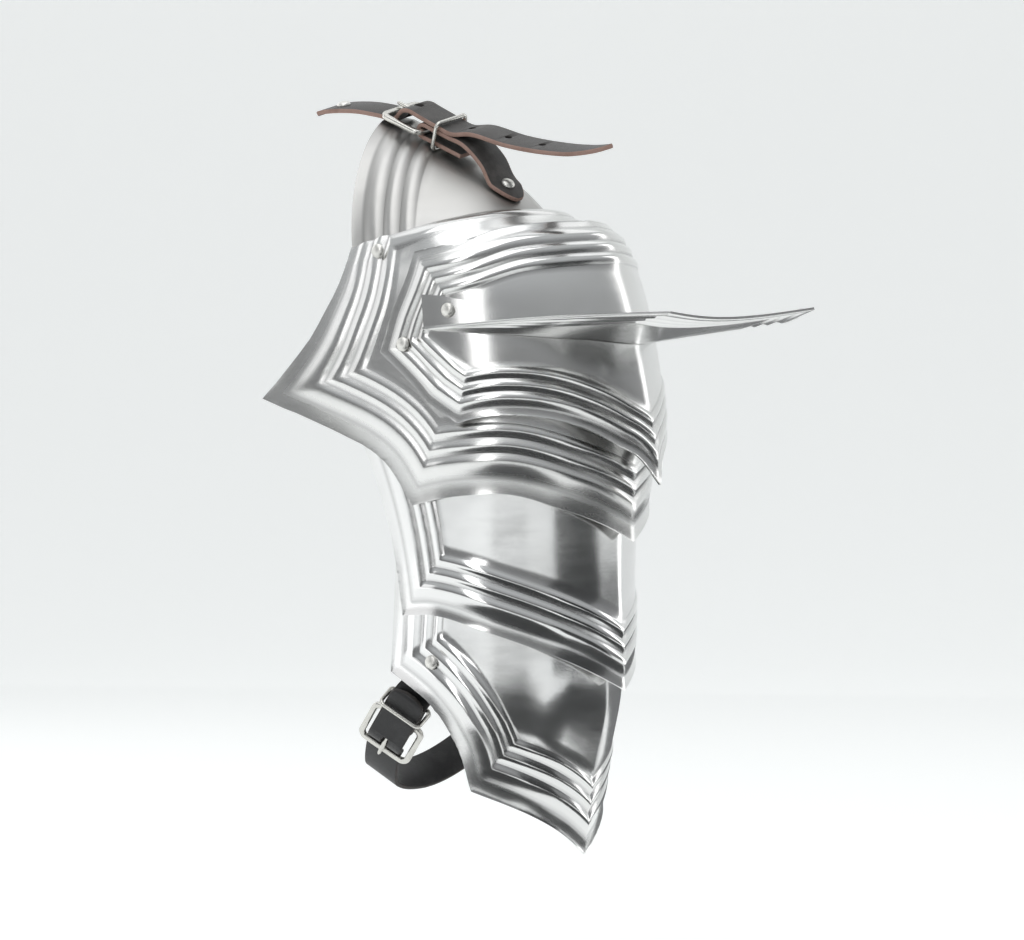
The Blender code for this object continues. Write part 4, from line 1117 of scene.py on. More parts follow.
@dataclass
class SideFlange:
    """Crescent flange on the guard plate, with its riveted upstand.

    Attributes:
        reach: Reach of its tip.
        corner: Reach of its corners.
        half: Half width between the corners.
        root: Depth of its root.
        corner_depth: Depth of its corners, as a share of root.
        tip_depth: Depth of its tip, as a share of root.
        upstand: Height of the riveted upstand.
        step: Width of its ends.
        arch: How far its front edge arches.
        bay: How far its outline is drawn in between a corner and the tip.
        play: Room between it and the guard plate, past the usual gap.
        ridges: Distances of its ridges from the rim.
        field_step: Width of the slope inside the last ridge.
        stations: Stations from a corner's root to the tip.
        upstand_rows: Rows of the upstand.
        field_rows: Rows between the root and the ridges.
    """

    reach: float = 175.5
    corner: float = 132.0
    half: float = 61.0
    root: float = 80.0
    corner_depth: float = 0.862
    tip_depth: float = 0.83
    upstand: float = 16.0
    step: float = 2.5
    arch: float = 1.3
    bay: tuple = (8.0, -3.0, 3.5)
    play: float = 0.6
    ridges: tuple = (8.0, 15.0, 22.0)
    field_step: float = 3.5
    stations: int = 71
    upstand_rows: int = 7
    field_rows: int = 9

    def rim(self, part: float, start: Array) -> Array:
        """Point of the outline at a station.

        Args:
            part: Station, 0 at the end, 1 at the corner and 2 at the tip.
            start: Point at station 0.

        Returns:
            The point.
        """
        corner = np.array((self.corner, -self.half, -self.corner_depth * self.root))
        tip = np.array((self.reach, 0.0, -self.tip_depth * self.root))
        bend = math.sin(math.pi * (part if part <= 1 else part - 1))
        if part <= 1:
            return start + (corner - start) * part + np.array((0.0, -bend, self.arch * bend))
        return corner + (tip - corner) * (part - 1) - np.array(self.bay) * bend

    def upstand_at(self, guard: Plate, part: float) -> tuple:
        """Upstand on the guard plate's wall, from its top down to the root.

        Args:
            guard: The plate that carries it.
            part: Station.

        Returns:
            Points and normals.
        """
        table = np.array(FLANGE_ROWS)
        girth, depth, rise, lift = (float(np.interp(part, table[:, 0], table[:, k]))
                                    for k in (1, 2, 3, 4))
        down = np.linspace(1.0, 0.0, self.upstand_rows)
        runs = guard.sleeve.run_at(-depth * self.root + rise * self.upstand * down)
        stand = GUARD_OFFSET + SHEET + GAP + self.play + lift * RIDGE
        return guard.wall(np.full(self.upstand_rows, girth), runs, stand)

    def build(self, guard: Plate) -> Any:
        """Make the flange on the guard plate's wall.

        Args:
            guard: The plate that carries it.

        Returns:
            The flange.
        """
        rings = ring_places()[::-1]
        distances = np.interp(rings, (0.0, 1.0, 2.0, 3.0, 3.5),
                              (0.0, *self.ridges, self.ridges[2] + self.field_step))
        wall, normals = self.upstand_at(guard, 0.0)
        start = wall[-1] + normals[-1] * self.step
        rows, scales = [], []
        for part in np.linspace(0.0, 2.0, self.stations):
            wall = self.upstand_at(guard, float(part))[0]
            root, rim = wall[-1], self.rim(float(part), start)
            width = float(np.linalg.norm(rim - root))
            shrink = min(1.0, width / (2 * self.ridges[2]))
            lines = 1 - shrink * distances / width
            shares = np.concatenate((np.linspace(0.04, 0.96, self.field_rows) * lines[0], lines))
            rows.append(np.concatenate((wall, root + (rim - root) * shares[:, None])))
            scales.append(shrink)
        grid = mirrored(np.array(rows)[::-1].transpose(1, 0, 2))
        scale = mirrored_values(np.array(scales)[::-1])
        plain = np.full(self.upstand_rows + self.field_rows, PLAIN)
        place = np.repeat(np.concatenate((plain, rings))[:, None], grid.shape[1], axis=1)
        facing = unit(np.cross(np.gradient(grid, axis=1), np.gradient(grid, axis=0)))
        middle = grid.shape[1] // 2
        if facing[-1, middle, 2] < 0:
            facing = -facing
        facing[:, middle, 1] = 0.0
        facing = unit(facing)
        grid = grid + facing * (relief(place) * RIDGE * scale)[..., None]
        vertices, faces, count = sheet_mesh(grid, facing, SHEET)
        item = add_piece("side_flange_steel", vertices, faces, [Finish.GUARD])
        mark(item, place.reshape(-1), count)
        return settle(item, "guard", "steel", "side_flange")


def node_points(name: str) -> Array:
    """Corner points of a solid.

    Args:
        name: The solid's name.

    Returns:
        The points in millimetres.
    """
    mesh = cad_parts[name].data
    flat = np.zeros(len(mesh.vertices) * 3)
    mesh.vertices.foreach_get("co", flat)
    return flat.reshape(-1, 3) / MM


@dataclass
class RivetSet:
    """Rivets of one body, laid out by Geometry Nodes.

    Attributes:
        body: Body that they ride on.
        nodes: Direction and dome height of each rivet by its solid's name.
        head: Radius of a head.
        peen: Radius of the hammered end.
        peen_rise: Height of the hammered end.
        skirt: How far a head goes below its seat, as a share of its height.
        segments: Segments of a head.
        rings: Rings of a whole ball.
    """

    body: str
    nodes: dict
    head: float = 3.5
    peen: float = 2.9
    peen_rise: float = 0.9
    skirt: float = 0.12
    segments: int = 28
    rings: int = 14

    def seeds(self) -> tuple:
        """Seeds of all heads and hammered ends.

        Returns:
            Places, directions and sizes.
        """
        places, ways, sizes = [], [], []
        for name, (axis, dome) in self.nodes.items():
            axis = unit(np.array(axis, float))
            points = node_points(name)
            heights = points @ axis
            middle = points.mean(axis=0)
            if abs(axis[1]) > 0.999:
                middle = (points.min(axis=0) + points.max(axis=0)) / 2
            middle = middle - axis * (middle @ axis)
            ends = ((axis, heights.max() - dome, self.head, dome),
                    (-axis, heights.min() + self.peen_rise, self.peen, self.peen_rise))
            for way, height, radius, rise in ends:
                places.append(middle + axis * height)
                ways.append(way)
                sizes.append((radius, radius, rise))
        return np.array(places), np.array(ways), np.array(sizes)

    def tree(self) -> Any:
        """Geometry Nodes tree that puts a domed head on every seed.

        Returns:
            The node group.
        """
        group = bpy.data.node_groups.new("rivet_heads", "GeometryNodeTree")
        for name, kind, value in (("Seeds", "Geometry", None), ("Segments", "Int", self.segments),
                                  ("Rings", "Int", self.rings), ("Skirt", "Float", self.skirt),
                                  ("Metal", "Material", None)):
            entry = group.interface.new_socket(name, in_out="INPUT",
                                               socket_type="NodeSocket" + kind)
            if value is not None:
                entry.default_value = value
        group.interface.new_socket("Geometry", in_out="OUTPUT", socket_type="NodeSocketGeometry")
        tree = Tree(group)
        start = group.nodes.new("NodeGroupInput")
        seeds, segments, rings, skirt, metal = (Socket(tree, start.outputs[k]) for k in range(5))
        ball = tree.make("GeometryNodeMeshUVSphere", None,
                         {"Segments": segments, "Rings": rings, "Radius": 1.0})
        place = tree.make("GeometryNodeInputPosition")
        across, deep, height = (tree.make("ShaderNodeSeparateXYZ", None, {0: place}, key)
                                for key in "XYZ")
        low = height.maths("MAXIMUM", height, -1.0 * skirt)
        flat = tree.make("ShaderNodeCombineXYZ", None, {0: across, 1: deep, 2: low})
        dome = tree.make("GeometryNodeSetPosition", None, {"Geometry": ball, "Position": flat})
        dome = tree.make("GeometryNodeSetShadeSmooth", None, {"Geometry": dome})
        way, size = (tree.make("GeometryNodeInputNamedAttribute", {"data_type": "FLOAT_VECTOR"},
                               {"Name": key}) for key in ("way", "size"))
        turn = tree.make("FunctionNodeAlignRotationToVector", {"axis": "Z"}, {"Vector": way})
        laid = tree.make("GeometryNodeInstanceOnPoints", None,
                         {"Points": seeds, "Instance": dome, "Rotation": turn, "Scale": size})
        solid = tree.make("GeometryNodeRealizeInstances", None, {"Geometry": laid})
        dressed = tree.make("GeometryNodeSetMaterial", None, {"Geometry": solid, "Material": metal})
        end = group.nodes.new("NodeGroupOutput")
        group.links.new(dressed.link, end.inputs[0])
        return group

    def build(self) -> Any:
        """Make the rivets of the body as one plain mesh.

        Returns:
            The rivets.
        """
        places, ways, sizes = self.seeds()
        mesh = bpy.data.meshes.new("rivet_seeds_" + self.body)
        mesh.from_pydata([tuple(point * MM) for point in places], [], [])
        for name, values in (("way", ways), ("size", sizes * MM)):
            layer = mesh.attributes.new(name, "FLOAT_VECTOR", "POINT")
            layer.data.foreach_set("vector", values.ravel())
        seeds = add_object("rivet_seeds_" + self.body, mesh)
        group = self.tree()
        layer = seeds.modifiers.new("rivets", "NODES")
        layer.node_group = group
        keys = {one.name: one.identifier for one in group.interface.items_tree
                if one.in_out == "INPUT"}
        layer[keys["Metal"]] = material_of(Finish.RIVET)
        layer[keys["Skirt"]] = self.skirt
        plain = evaluated_mesh(seeds)
        seeds.modifiers.remove(layer)
        bpy.data.objects.remove(seeds)
        plain.name = self.body + "_rivets"
        return settle(add_object(plain.name, plain), self.body, "nickel", *self.nodes)


def spline(points: Sequence, count: int) -> Array:
    """Rounded path through points, evenly spaced.

    Args:
        points: Points to pass.
        count: Points wanted.

    Returns:
        The path.
    """
    points = np.array([np.array(point, float) for point in points])
    steps = np.linalg.norm(np.diff(points, axis=0), axis=1)
    runs = np.concatenate(([0.0], np.cumsum(np.sqrt(steps))))
    fine = np.linspace(0, runs[-1], 1200)
    padded = np.concatenate((2 * points[:1] - points[1:2], points, 2 * points[-1:] - points[-2:-1]))
    knots = np.concatenate(([runs[0] - runs[1] + runs[0]], runs, [2 * runs[-1] - runs[-2]]))
    out = np.zeros((len(fine), 3))
    for number, at in enumerate(fine):
        cell = int(np.clip(np.searchsorted(runs, at, side="right") - 1, 0, len(points) - 2)) + 1
        t0, t1, t2, t3 = knots[cell - 1:cell + 3]
        p0, p1, p2, p3 = padded[cell - 1:cell + 3]
        a1 = (t1 - at) / (t1 - t0) * p0 + (at - t0) / (t1 - t0) * p1
        a2 = (t2 - at) / (t2 - t1) * p1 + (at - t1) / (t2 - t1) * p2
        a3 = (t3 - at) / (t3 - t2) * p2 + (at - t2) / (t3 - t2) * p3
        b1 = (t2 - at) / (t2 - t0) * a1 + (at - t0) / (t2 - t0) * a2
        b2 = (t3 - at) / (t3 - t1) * a2 + (at - t1) / (t3 - t1) * a3
        out[number] = (t2 - at) / (t2 - t1) * b1 + (at - t1) / (t2 - t1) * b2
    lengths = np.concatenate(([0.0], np.cumsum(np.linalg.norm(np.diff(out, axis=0), axis=1))))
    even = np.linspace(0, lengths[-1], count)
    return np.stack([np.interp(even, lengths, out[:, k]) for k in range(3)], axis=1)


def along_path(points: Sequence, path: Array, values: Any) -> Array:
    """Values given at the points, carried over to the path by the way travelled.

    Args:
        points: Points that the path passes.
        path: The path.
        values: Number or vector at each point.

    Returns:
        The value at each point of the path.
    """
    points = np.array([np.array(point, float) for point in points])
    marks = [0]
    for point in points[1:]:
        gaps = np.linalg.norm(path[marks[-1]:] - point, axis=1)
        window = max(4, len(path) // 6)
        marks.append(marks[-1] + int(np.argmin(gaps[:window])))
    values = np.asarray(values, float)
    at = np.arange(len(path))
    marks = np.maximum.accumulate(np.array(marks, float) + np.arange(len(marks)) * 1e-6)
    if values.ndim == 1:
        return np.interp(at, marks, values)
    return np.stack([np.interp(at, marks, column) for column in values.T], axis=1)


def loft_faces(rings: int, sides: int, closed: bool = False) -> list:
    """Faces of an outline carried along a path.

    Args:
        rings: Outlines along the path.
        sides: Points of an outline.
        closed: Whether the path joins up; its ends are capped if not.

    Returns:
        Corner numbers of each face.
    """
    faces = []
    for ring in range(rings if closed else rings - 1):
        here, beyond = ring * sides, (ring + 1) % rings * sides
        for side in range(sides):
            after = (side + 1) % sides
            faces.append((here + side, here + after, beyond + after, beyond + side))
    if not closed:
        last = (rings - 1) * sides
        faces += [tuple(range(sides)), tuple(last + k for k in reversed(range(sides)))]
    return faces


@dataclass
class Strip:
    """A cut strip of leather with rounded arrises.

    Attributes:
        name: Name of its solid.
        body: Body that it rides on.
        points: Points of its middle line.
        across: Way across it, one for all or one for each point.
        widths: Width at each point.
        face: Finish of its faces.
        edge: Finish of its cut edges.
        cuts: Vertices and faces of the shapes that are cut out of it.
        steps: Outlines for each point.
        arris: Width of an arris.
    """

    name: str
    body: str
    points: Sequence
    across: Any
    widths: Sequence[float]
    face: Finish
    edge: Finish
    cuts: list = field(default_factory=list)
    steps: int = 8
    arris: float = 0.55

    def section(self, width: float) -> list:
        """Outline of the strip's cross-section, whose sides 0 and 6 are its faces.

        Args:
            width: Width of the strip.

        Returns:
            Twelve points.
        """
        half, thick, arris = width / 2, STRAP / 2, min(self.arris, width / 5)
        nick = 0.3 * arris
        right = [(half - arris, -thick), (half - nick, nick - thick), (half, arris - thick)]
        right += [(a, -b) for a, b in reversed(right)]
        outline = right + [(-a, -b) for a, b in right]
        return outline[-1:] + outline[:-1]

    def build(self) -> Any:
        """Make the strip, cut its holes and let it stand for its solid.

        Returns:
            The strip.
        """
        count = self.steps * len(self.points)
        path = spline(self.points, count)
        ways = np.broadcast_to(np.asarray(self.across, float), (len(self.points), 3))
        ways = unit(along_path(self.points, path, ways))
        widths = np.sqrt(along_path(self.points, path, np.array(self.widths) ** 2))
        up = unit(np.cross(ways, unit(np.gradient(path, axis=0))))
        vertices = [point + way * a + rise * b for point, way, rise, width
                    in zip(path, ways, up, widths) for a, b in self.section(width)]
        slots = [0 if side in (0, 6) else 1 for side in range(12)] * (count - 1) + [1, 1]
        item = add_piece(self.name + "_leather", vertices, loft_faces(count, 12),
                         [self.face, self.edge], slots, 50.0)
        if self.cuts:
            item = punched(item, self.cuts, Finish.BLACK_EDGE)
        return settle(item, self.body, "black_leather", self.name)


def punched(item: Any, cuts: Sequence[tuple], edge: Finish) -> Any:
    """Cut closed shapes out of a piece.

    Args:
        item: The piece.
        cuts: Vertices and faces of each shape.
        edge: Finish of the cut walls.

    Returns:
        The piece with plain mesh data.
    """
    vertices, faces = [], []
    for points, shape in cuts:
        base = len(vertices)
        vertices += [tuple(point) for point in points]
        faces += [tuple(base + k for k in one) for one in shape]
    cutter = add_piece(item.name + "_cutter", vertices, faces, [edge])
    layer = item.modifiers.new("holes", "BOOLEAN")
    layer.operation = "DIFFERENCE"
    layer.solver = "EXACT"
    layer.material_mode = "TRANSFER"
    layer.object = cutter
    plain = evaluated_mesh(item)
    item.modifiers.remove(layer)
    item.data = plain
    bpy.data.objects.remove(cutter)
    return item


def tube(path: Array, side: Any, outline: Sequence, closed: bool,
         tapers: Optional[Array] = None) -> tuple:
    """Sweep an outline along a path.

    Args:
        path: Middle line.
        side: Direction of the outline's second axis.
        outline: Points of the cross-section.
        closed: Whether the path joins up.
        tapers: Scale of the outline at each point.

    Returns:
        Vertices and faces.
    """
    if closed:
        along = unit(np.roll(path, -1, axis=0) - np.roll(path, 1, axis=0))
    else:
        along = unit(np.gradient(path, axis=0))
    side = np.broadcast_to(unit(np.asarray(side, float)), path.shape)
    out = unit(np.cross(along, side))
    tapers = np.ones(len(path)) if tapers is None else tapers
    vertices = [point + (first * a + second * b) * taper for point, first, second, taper
                in zip(path, out, side, tapers) for a, b in outline]
    return vertices, loft_faces(len(path), len(outline), closed)


def squircle(width: float, height: float, power: float, count: int = 16) -> list:
    """Outline of a bar with softened corners.

    Args:
        width: Its width.
        height: Its height.
        power: 2 for an ellipse, more for squarer corners.
        count: Points wanted.

    Returns:
        The points.
    """
    points = []
    for k in range(count):
        angle = 2 * math.pi * k / count
        a, b = math.cos(angle), math.sin(angle)
        points.append((math.copysign(abs(a) ** (2 / power), a) * width / 2,
                       math.copysign(abs(b) ** (2 / power), b) * height / 2))
    return points


def punch(centre: Array, axis: Array, radius: float) -> tuple:
    """A round punch through a strap.

    Args:
        centre: Middle of the hole.
        axis: Way through the strap.
        radius: Radius of the hole.

    Returns:
        Vertices and faces.
    """
    axis = unit(np.array(axis, float))
    side = unit(np.cross(axis, (0.3, 1.0, 0.2)))
    other = np.cross(axis, side)
    points = [centre + side * a + other * b + axis * c for c in (-PUNCH_REACH, PUNCH_REACH)
              for a, b in squircle(2 * radius, 2 * radius, 2.0)]
    return points, loft_faces(2, 16)


@dataclass
class Buckle:
    """A buckle's own axes, its metal parts and the way of a strap through it.

    Attributes:
        name: First word of its solids' names.
        body: Body that it rides on.
        hinge: Middle of its hinge bar.
        along: Way from the hinge bar to the outer bar.
        across: Way along the bars.
        up: Way off the straps.
        frame_corner: Radius of the frame's corners.
        keeper_corner: Radius of the keeper ring's corners.
        keeper_play: Room in the keeper ring beside and over the straps.
        slot_play: Room beside the tongue in a slot, and past the straps.
    """

    name: str
    body: str
    hinge: Any
    along: Any
    across: Any
    up: Array = field(init=False)
    frame_corner: float = 3.4
    keeper_corner: float = 2.6
    keeper_play: tuple = (1.6, 1.0)
    slot_play: tuple = (0.9, 2.5)

    def __post_init__(self) -> None:
        """Square up the three ways."""
        self.hinge = np.array(self.hinge, float)
        self.along = unit(np.array(self.along, float))
        across = np.array(self.across, float)
        self.across = unit(across - self.along * (across @ self.along))
        self.up = np.cross(self.across, self.along)

    def place(self, along: float, height: float) -> Array:
        """Point of the plane across the bar."""
        return self.hinge + self.along * along + self.up * height

    def line(self, shares: Sequence[float], height: float) -> list:
        """Points at one height, at these shares of BUCKLE_LENGTH past the hinge bar."""
        return [self.place(share * BUCKLE_LENGTH, height) for share in shares]

    def hooks(self, radius: float, start: float, end: float, steps: int) -> list:
        """Points of an arc around the hinge bar."""
        angles = np.radians(np.linspace(start, end, steps))
        return [self.place(radius * math.cos(a), radius * math.sin(a)) for a in angles]

    def fold(self, before: Sequence[float], after: Sequence[float]) -> list:
        """Way of the folded leather under, around and over the hinge bar."""
        return self.line(before, -LOOP) + self.hooks(LOOP, -90, 90, 7) + self.line(after, LOOP)

    def buckled(self) -> list:
        """Way of the long strap through the buckle, from its outer bar.

        Returns:
            The points.
        """
        levels = (-2 * LOOP, -LOOP, 0, STACK, 2 * STACK)
        return [self.place(way * BUCKLE_LENGTH, float(np.interp(level, (-2, -1, 0, 1, 2), levels)))
                for way, level in BUCKLED_ROWS]

    def loop(self, centre: Array, first: Array, second: Array, size: tuple,
             corner: float) -> Array:
        """Rounded rectangle in the plane of two directions.

        Args:
            centre: Its middle.
            first: Way of its width.
            second: Way of its height.
            size: Width and height.
            corner: Radius of its corners.

        Returns:
            The points of the closed path.
        """
        path = []
        for quarter in range(4):
            a = (size[0] / 2 - corner) * (1 if quarter in (0, 3) else -1)
            b = (size[1] / 2 - corner) * (1 if quarter in (0, 1) else -1)
            for k in range(9):
                angle = math.pi / 2 * (quarter + k / 8)
                out = first * math.cos(angle) + second * math.sin(angle)
                path.append(centre + first * a + second * b + out * corner)
        return np.array(path)

    def part(self, word: str, sweep: tuple) -> None:
        """Make one metal part from its vertices and faces."""
        item = add_piece(f"{self.name}_{word}_nickel", *sweep, [Finish.BUCKLE])
        settle(item, self.body, "nickel", f"{self.name}_{word}")

    def build(self) -> None:
        """Make the frame, the tongue and the keeper ring."""
        bar, tip, wire = 2 * BUCKLE_BAR, 2 * TONGUE, 2 * KEEPER_WIRE
        path = self.loop(self.hinge + self.along * BUCKLE_LENGTH / 2, self.along, self.across,
                         (BUCKLE_LENGTH, BUCKLE_WIDTH), self.frame_corner)
        self.part("buckle_frame", tube(path, self.up, squircle(bar, 0.86 * bar, 3.2), True))
        ride = BUCKLE_BAR + GAP + TONGUE
        points = self.hooks(ride, -100, -260, 8) + self.line((0.26, 0.61, 0.87, 1.1), ride)
        tapers = np.interp(np.arange(60), (0, 2, 50, 57, 59), (0.7, 1.0, 0.95, 0.75, 0.35))
        self.part("buckle_tongue", tube(spline(points, 60), self.across, squircle(tip, tip, 2.3),
                                        False, tapers))
        centre = self.place(-KEEPER_SHARE * BUCKLE_LENGTH, (STACK - LOOP) / 2 + LOOP_PLAY)
        size = (STRAP_WIDTH + self.keeper_play[0] + wire,
                STACK + LOOP + STRAP + self.keeper_play[1] + wire)
        path = self.loop(centre, self.across, self.up, size, self.keeper_corner)
        self.part("keeper", tube(path, self.along, squircle(wire, wire, 2.2), True))

    def slot(self, along: float, height: float, length: float) -> tuple:
        """A slot for the tongue, with rounded ends.

        Args:
            along: Place of its middle past the hinge bar.
            height: Height of its middle.
            length: Its length.

        Returns:
            Vertices and faces of the cut shape.
        """
        width, deep = 2 * (TONGUE + self.slot_play[0]), STACK + self.slot_play[1]
        points = [self.place(along + a, height + c * deep) + self.across * b
                  for c in (-1, 1) for a, b in squircle(length, width, 4.0)]
        return points, loft_faces(2, 16)

    def fold_slot(self) -> tuple:
        """Slot of the folded leather at the hinge bar."""
        return self.slot(0.0, 0.0, 0.48 * BUCKLE_LENGTH)

    def strap_slot(self) -> tuple:
        """Slot of the long strap where the tongue goes through it."""
        return self.slot(0.63 * BUCKLE_LENGTH, STACK / 2, 0.44 * BUCKLE_LENGTH)


@dataclass
class ShoulderStraps:
    """Buckle leather on the cap, and the long strap from the neck side in its buckle.

    Attributes:
        cap: Sleeve of the cap.
        reach: Place of the hinge bar.
        height: Height of the hinge bar.
        drop: Place of the straps in front of the crest.
        slope: Slope of the straps.
        lean: Lean of the straps to the front.
        landing: Reaches at which the buckle leather lies on the cap.
        rivet: Reach of its rivet.
        swell: How it bends before it lands.
    """

    cap: Sleeve
    reach: float = 37.0
    height: float = 26.6
    drop: float = 0.12 * HALF
    slope: float = math.radians(24.7)
    lean: float = math.radians(18.0)
    landing: tuple = (0.03, 0.10, 0.17)
    rivet: float = 0.07
    swell: tuple = (1.0, 0.0, 1.6)

    def buckle(self) -> Buckle:
        """The buckle in its place.

        Returns:
            The buckle.
        """
        return Buckle("shoulder", "cap", (-self.reach, -self.drop, self.height),
                      (-math.cos(self.slope), 0, math.sin(self.slope)),
                      (0, math.cos(self.lean), math.sin(self.lean)))

    def on_cap(self, reach: float, height: float) -> tuple:
        """Place over the cap, in line with the straps.

        Args:
            reach: Its reach, as a share of REACH.
            height: Its height over the cap.

        Returns:
            The point and the cap's normal there.
        """
        run = np.interp(reach * REACH, self.cap.crease[:, 0], self.cap.runs)
        half = np.interp(run, self.cap.runs, self.cap.half)
        girth = math.asin(self.drop / half) / (math.pi / 2)
        normal = self.cap.normal(girth, run)
        return self.cap.point(girth, run) + normal * height, normal

    def build(self) -> dict:
        """Make the straps and the buckle.

        Returns:
            Directions and domes of the two rivets by the names of their solids.
        """
        buckle = self.buckle()
        seat = SHEET / 2 + GAP + STRAP / 2 + SEAT_PLAY
        path = buckle.fold((-1.1, -0.6, -0.2), (-0.25, -0.65, -1.1))
        landing = [self.on_cap(reach, seat)[0] for reach in self.landing]
        path += [path[-1] * 0.4 + landing[0] * 0.6 + np.array(self.swell)] + landing
        widths = [STRAP_WIDTH] * (len(path) - 2) + [0.85 * STRAP_WIDTH, 0.25 * STRAP_WIDTH]
        Strip("buckle_leather", "cap", path, buckle.across, widths, Finish.STRAP, Finish.EDGE,
              [buckle.fold_slot()]).build()
        neck, tail = ([(row[0] * REACH, -self.drop, row[1] * self.height) for row in rows]
                      for rows in (NECK_ROWS, TAIL_ROWS))
        path = neck + buckle.buckled() + tail
        widths = [row[2] * STRAP_WIDTH for row in NECK_ROWS] + [STRAP_WIDTH] * len(BUCKLED_ROWS)
        widths += [row[2] * STRAP_WIDTH for row in TAIL_ROWS]
        line = np.array([np.array(point) for point in path[len(NECK_ROWS) + 6:]])
        cuts = [buckle.strap_slot()]
        for reach in TAIL_HOLES:
            height = np.interp(reach * REACH, line[:, 0], line[:, 2])
            centre = np.array((reach * REACH, -self.drop, height))
            cuts.append(punch(centre, buckle.up, STRAP_HOLE))
        Strip("shoulder_strap", "cap", path, buckle.across, widths, Finish.STRAP, Finish.EDGE,
              cuts).build()
        buckle.build()
        return {"buckle_leather_rivet": (self.on_cap(self.rivet, seat)[1], RIVET_DOME),
                "shoulder_strap_rivet": (np.cross(buckle.across, (-1, 0, 0)), RIVET_DOME)}


@dataclass
class ArmStraps:
    """Loop around the arm: a short leather with the buckle and a long one from the back.

    Attributes:
        rivet: Place of the front rivet on the lower lame.
        reach: How far the loop reaches towards the body.
        hang: How far it hangs.
        buckle_share: Place of the hinge bar, as a share of the loop.
        buckle_depth: How far the hinge bar lies behind the rivet.
        leather_step: How far the front leather steps back to the buckle.
        back_play: How far the back leather stands inside the plates.
        along: Way from the hinge bar to the outer bar.
        across: Way along the bars.
    """

    rivet: Array
    reach: float = 57.0
    hang: float = 61.0
    buckle_share: float = 0.47
    buckle_depth: float = 9.9
    leather_step: float = 5.6
    back_play: float = 2.0
    along: tuple = (-0.66, 0.33, -0.675)
    across: tuple = (-0.79, -0.33, 0.51)

    def build(self) -> None:
        """Make both leathers and the buckle."""
        inside = SHEET / 2 + GAP + STRAP / 2 + ARM_SEAT_PLAY
        slant = np.array((-self.reach, 0.0, -self.hang))
        across = unit(np.array((-self.hang, 0.0, self.reach)))
        seat = self.rivet + np.array((0.0, inside, 0.0))
        flat = self.rivet * (1, 0, 1)
        hinge = self.rivet + slant * self.buckle_share + np.array((0.0, self.buckle_depth, 0.0))
        buckle = Buckle("arm", "wing", hinge, self.along, self.across)
        front = [seat - slant * 0.13, seat - slant * 0.09, seat, seat + slant * 0.06]
        front += [(seat + slant * 0.20) * (1.0, 0.0, 1.0) + (0.0, seat[1] + self.leather_step, 0.0)]
        ways = [across] * len(front)
        front += buckle.fold((-0.65, -0.2), (-0.2, -0.7))
        ways += [buckle.across] * (len(front) - len(ways))
        ends = [0.3 * STRAP_WIDTH, 0.85 * STRAP_WIDTH]
        Strip("arm_strap_front", "wing", front, ways, ends + [STRAP_WIDTH] * (len(front) - 2),
              Finish.BLACK, Finish.BLACK_EDGE, [buckle.fold_slot()]).build()
        seat = seat * np.array((1.0, -1.0, 1.0))
        back = [seat - slant * 0.13, seat - slant * 0.09, seat, seat + slant * 0.1]
        for angle in np.radians(np.linspace(88, -22, 12))[1:]:
            side = math.sin(angle)
            depth = math.copysign(abs(side) ** 0.8, side) * (abs(seat[1]) - self.back_play)
            back.append(flat + slant * math.cos(angle) ** 0.8 + np.array((0.0, depth, 0.0)))
        back += buckle.buckled() + buckle.line((-0.86, -0.95), STACK)
        count = len(back)
        twist = np.interp(np.arange(count), (0, 11, count - 12, count), (0, 0, 1, 1))[:, None]
        ways = across * (1 - twist) + buckle.across * twist
        Strip("arm_strap_back", "wing", back, ways, ends + [STRAP_WIDTH] * (count - 4) + ends[::-1],
              Finish.BLACK, Finish.BLACK_EDGE, [buckle.strap_slot()]).build()
        buckle.build()


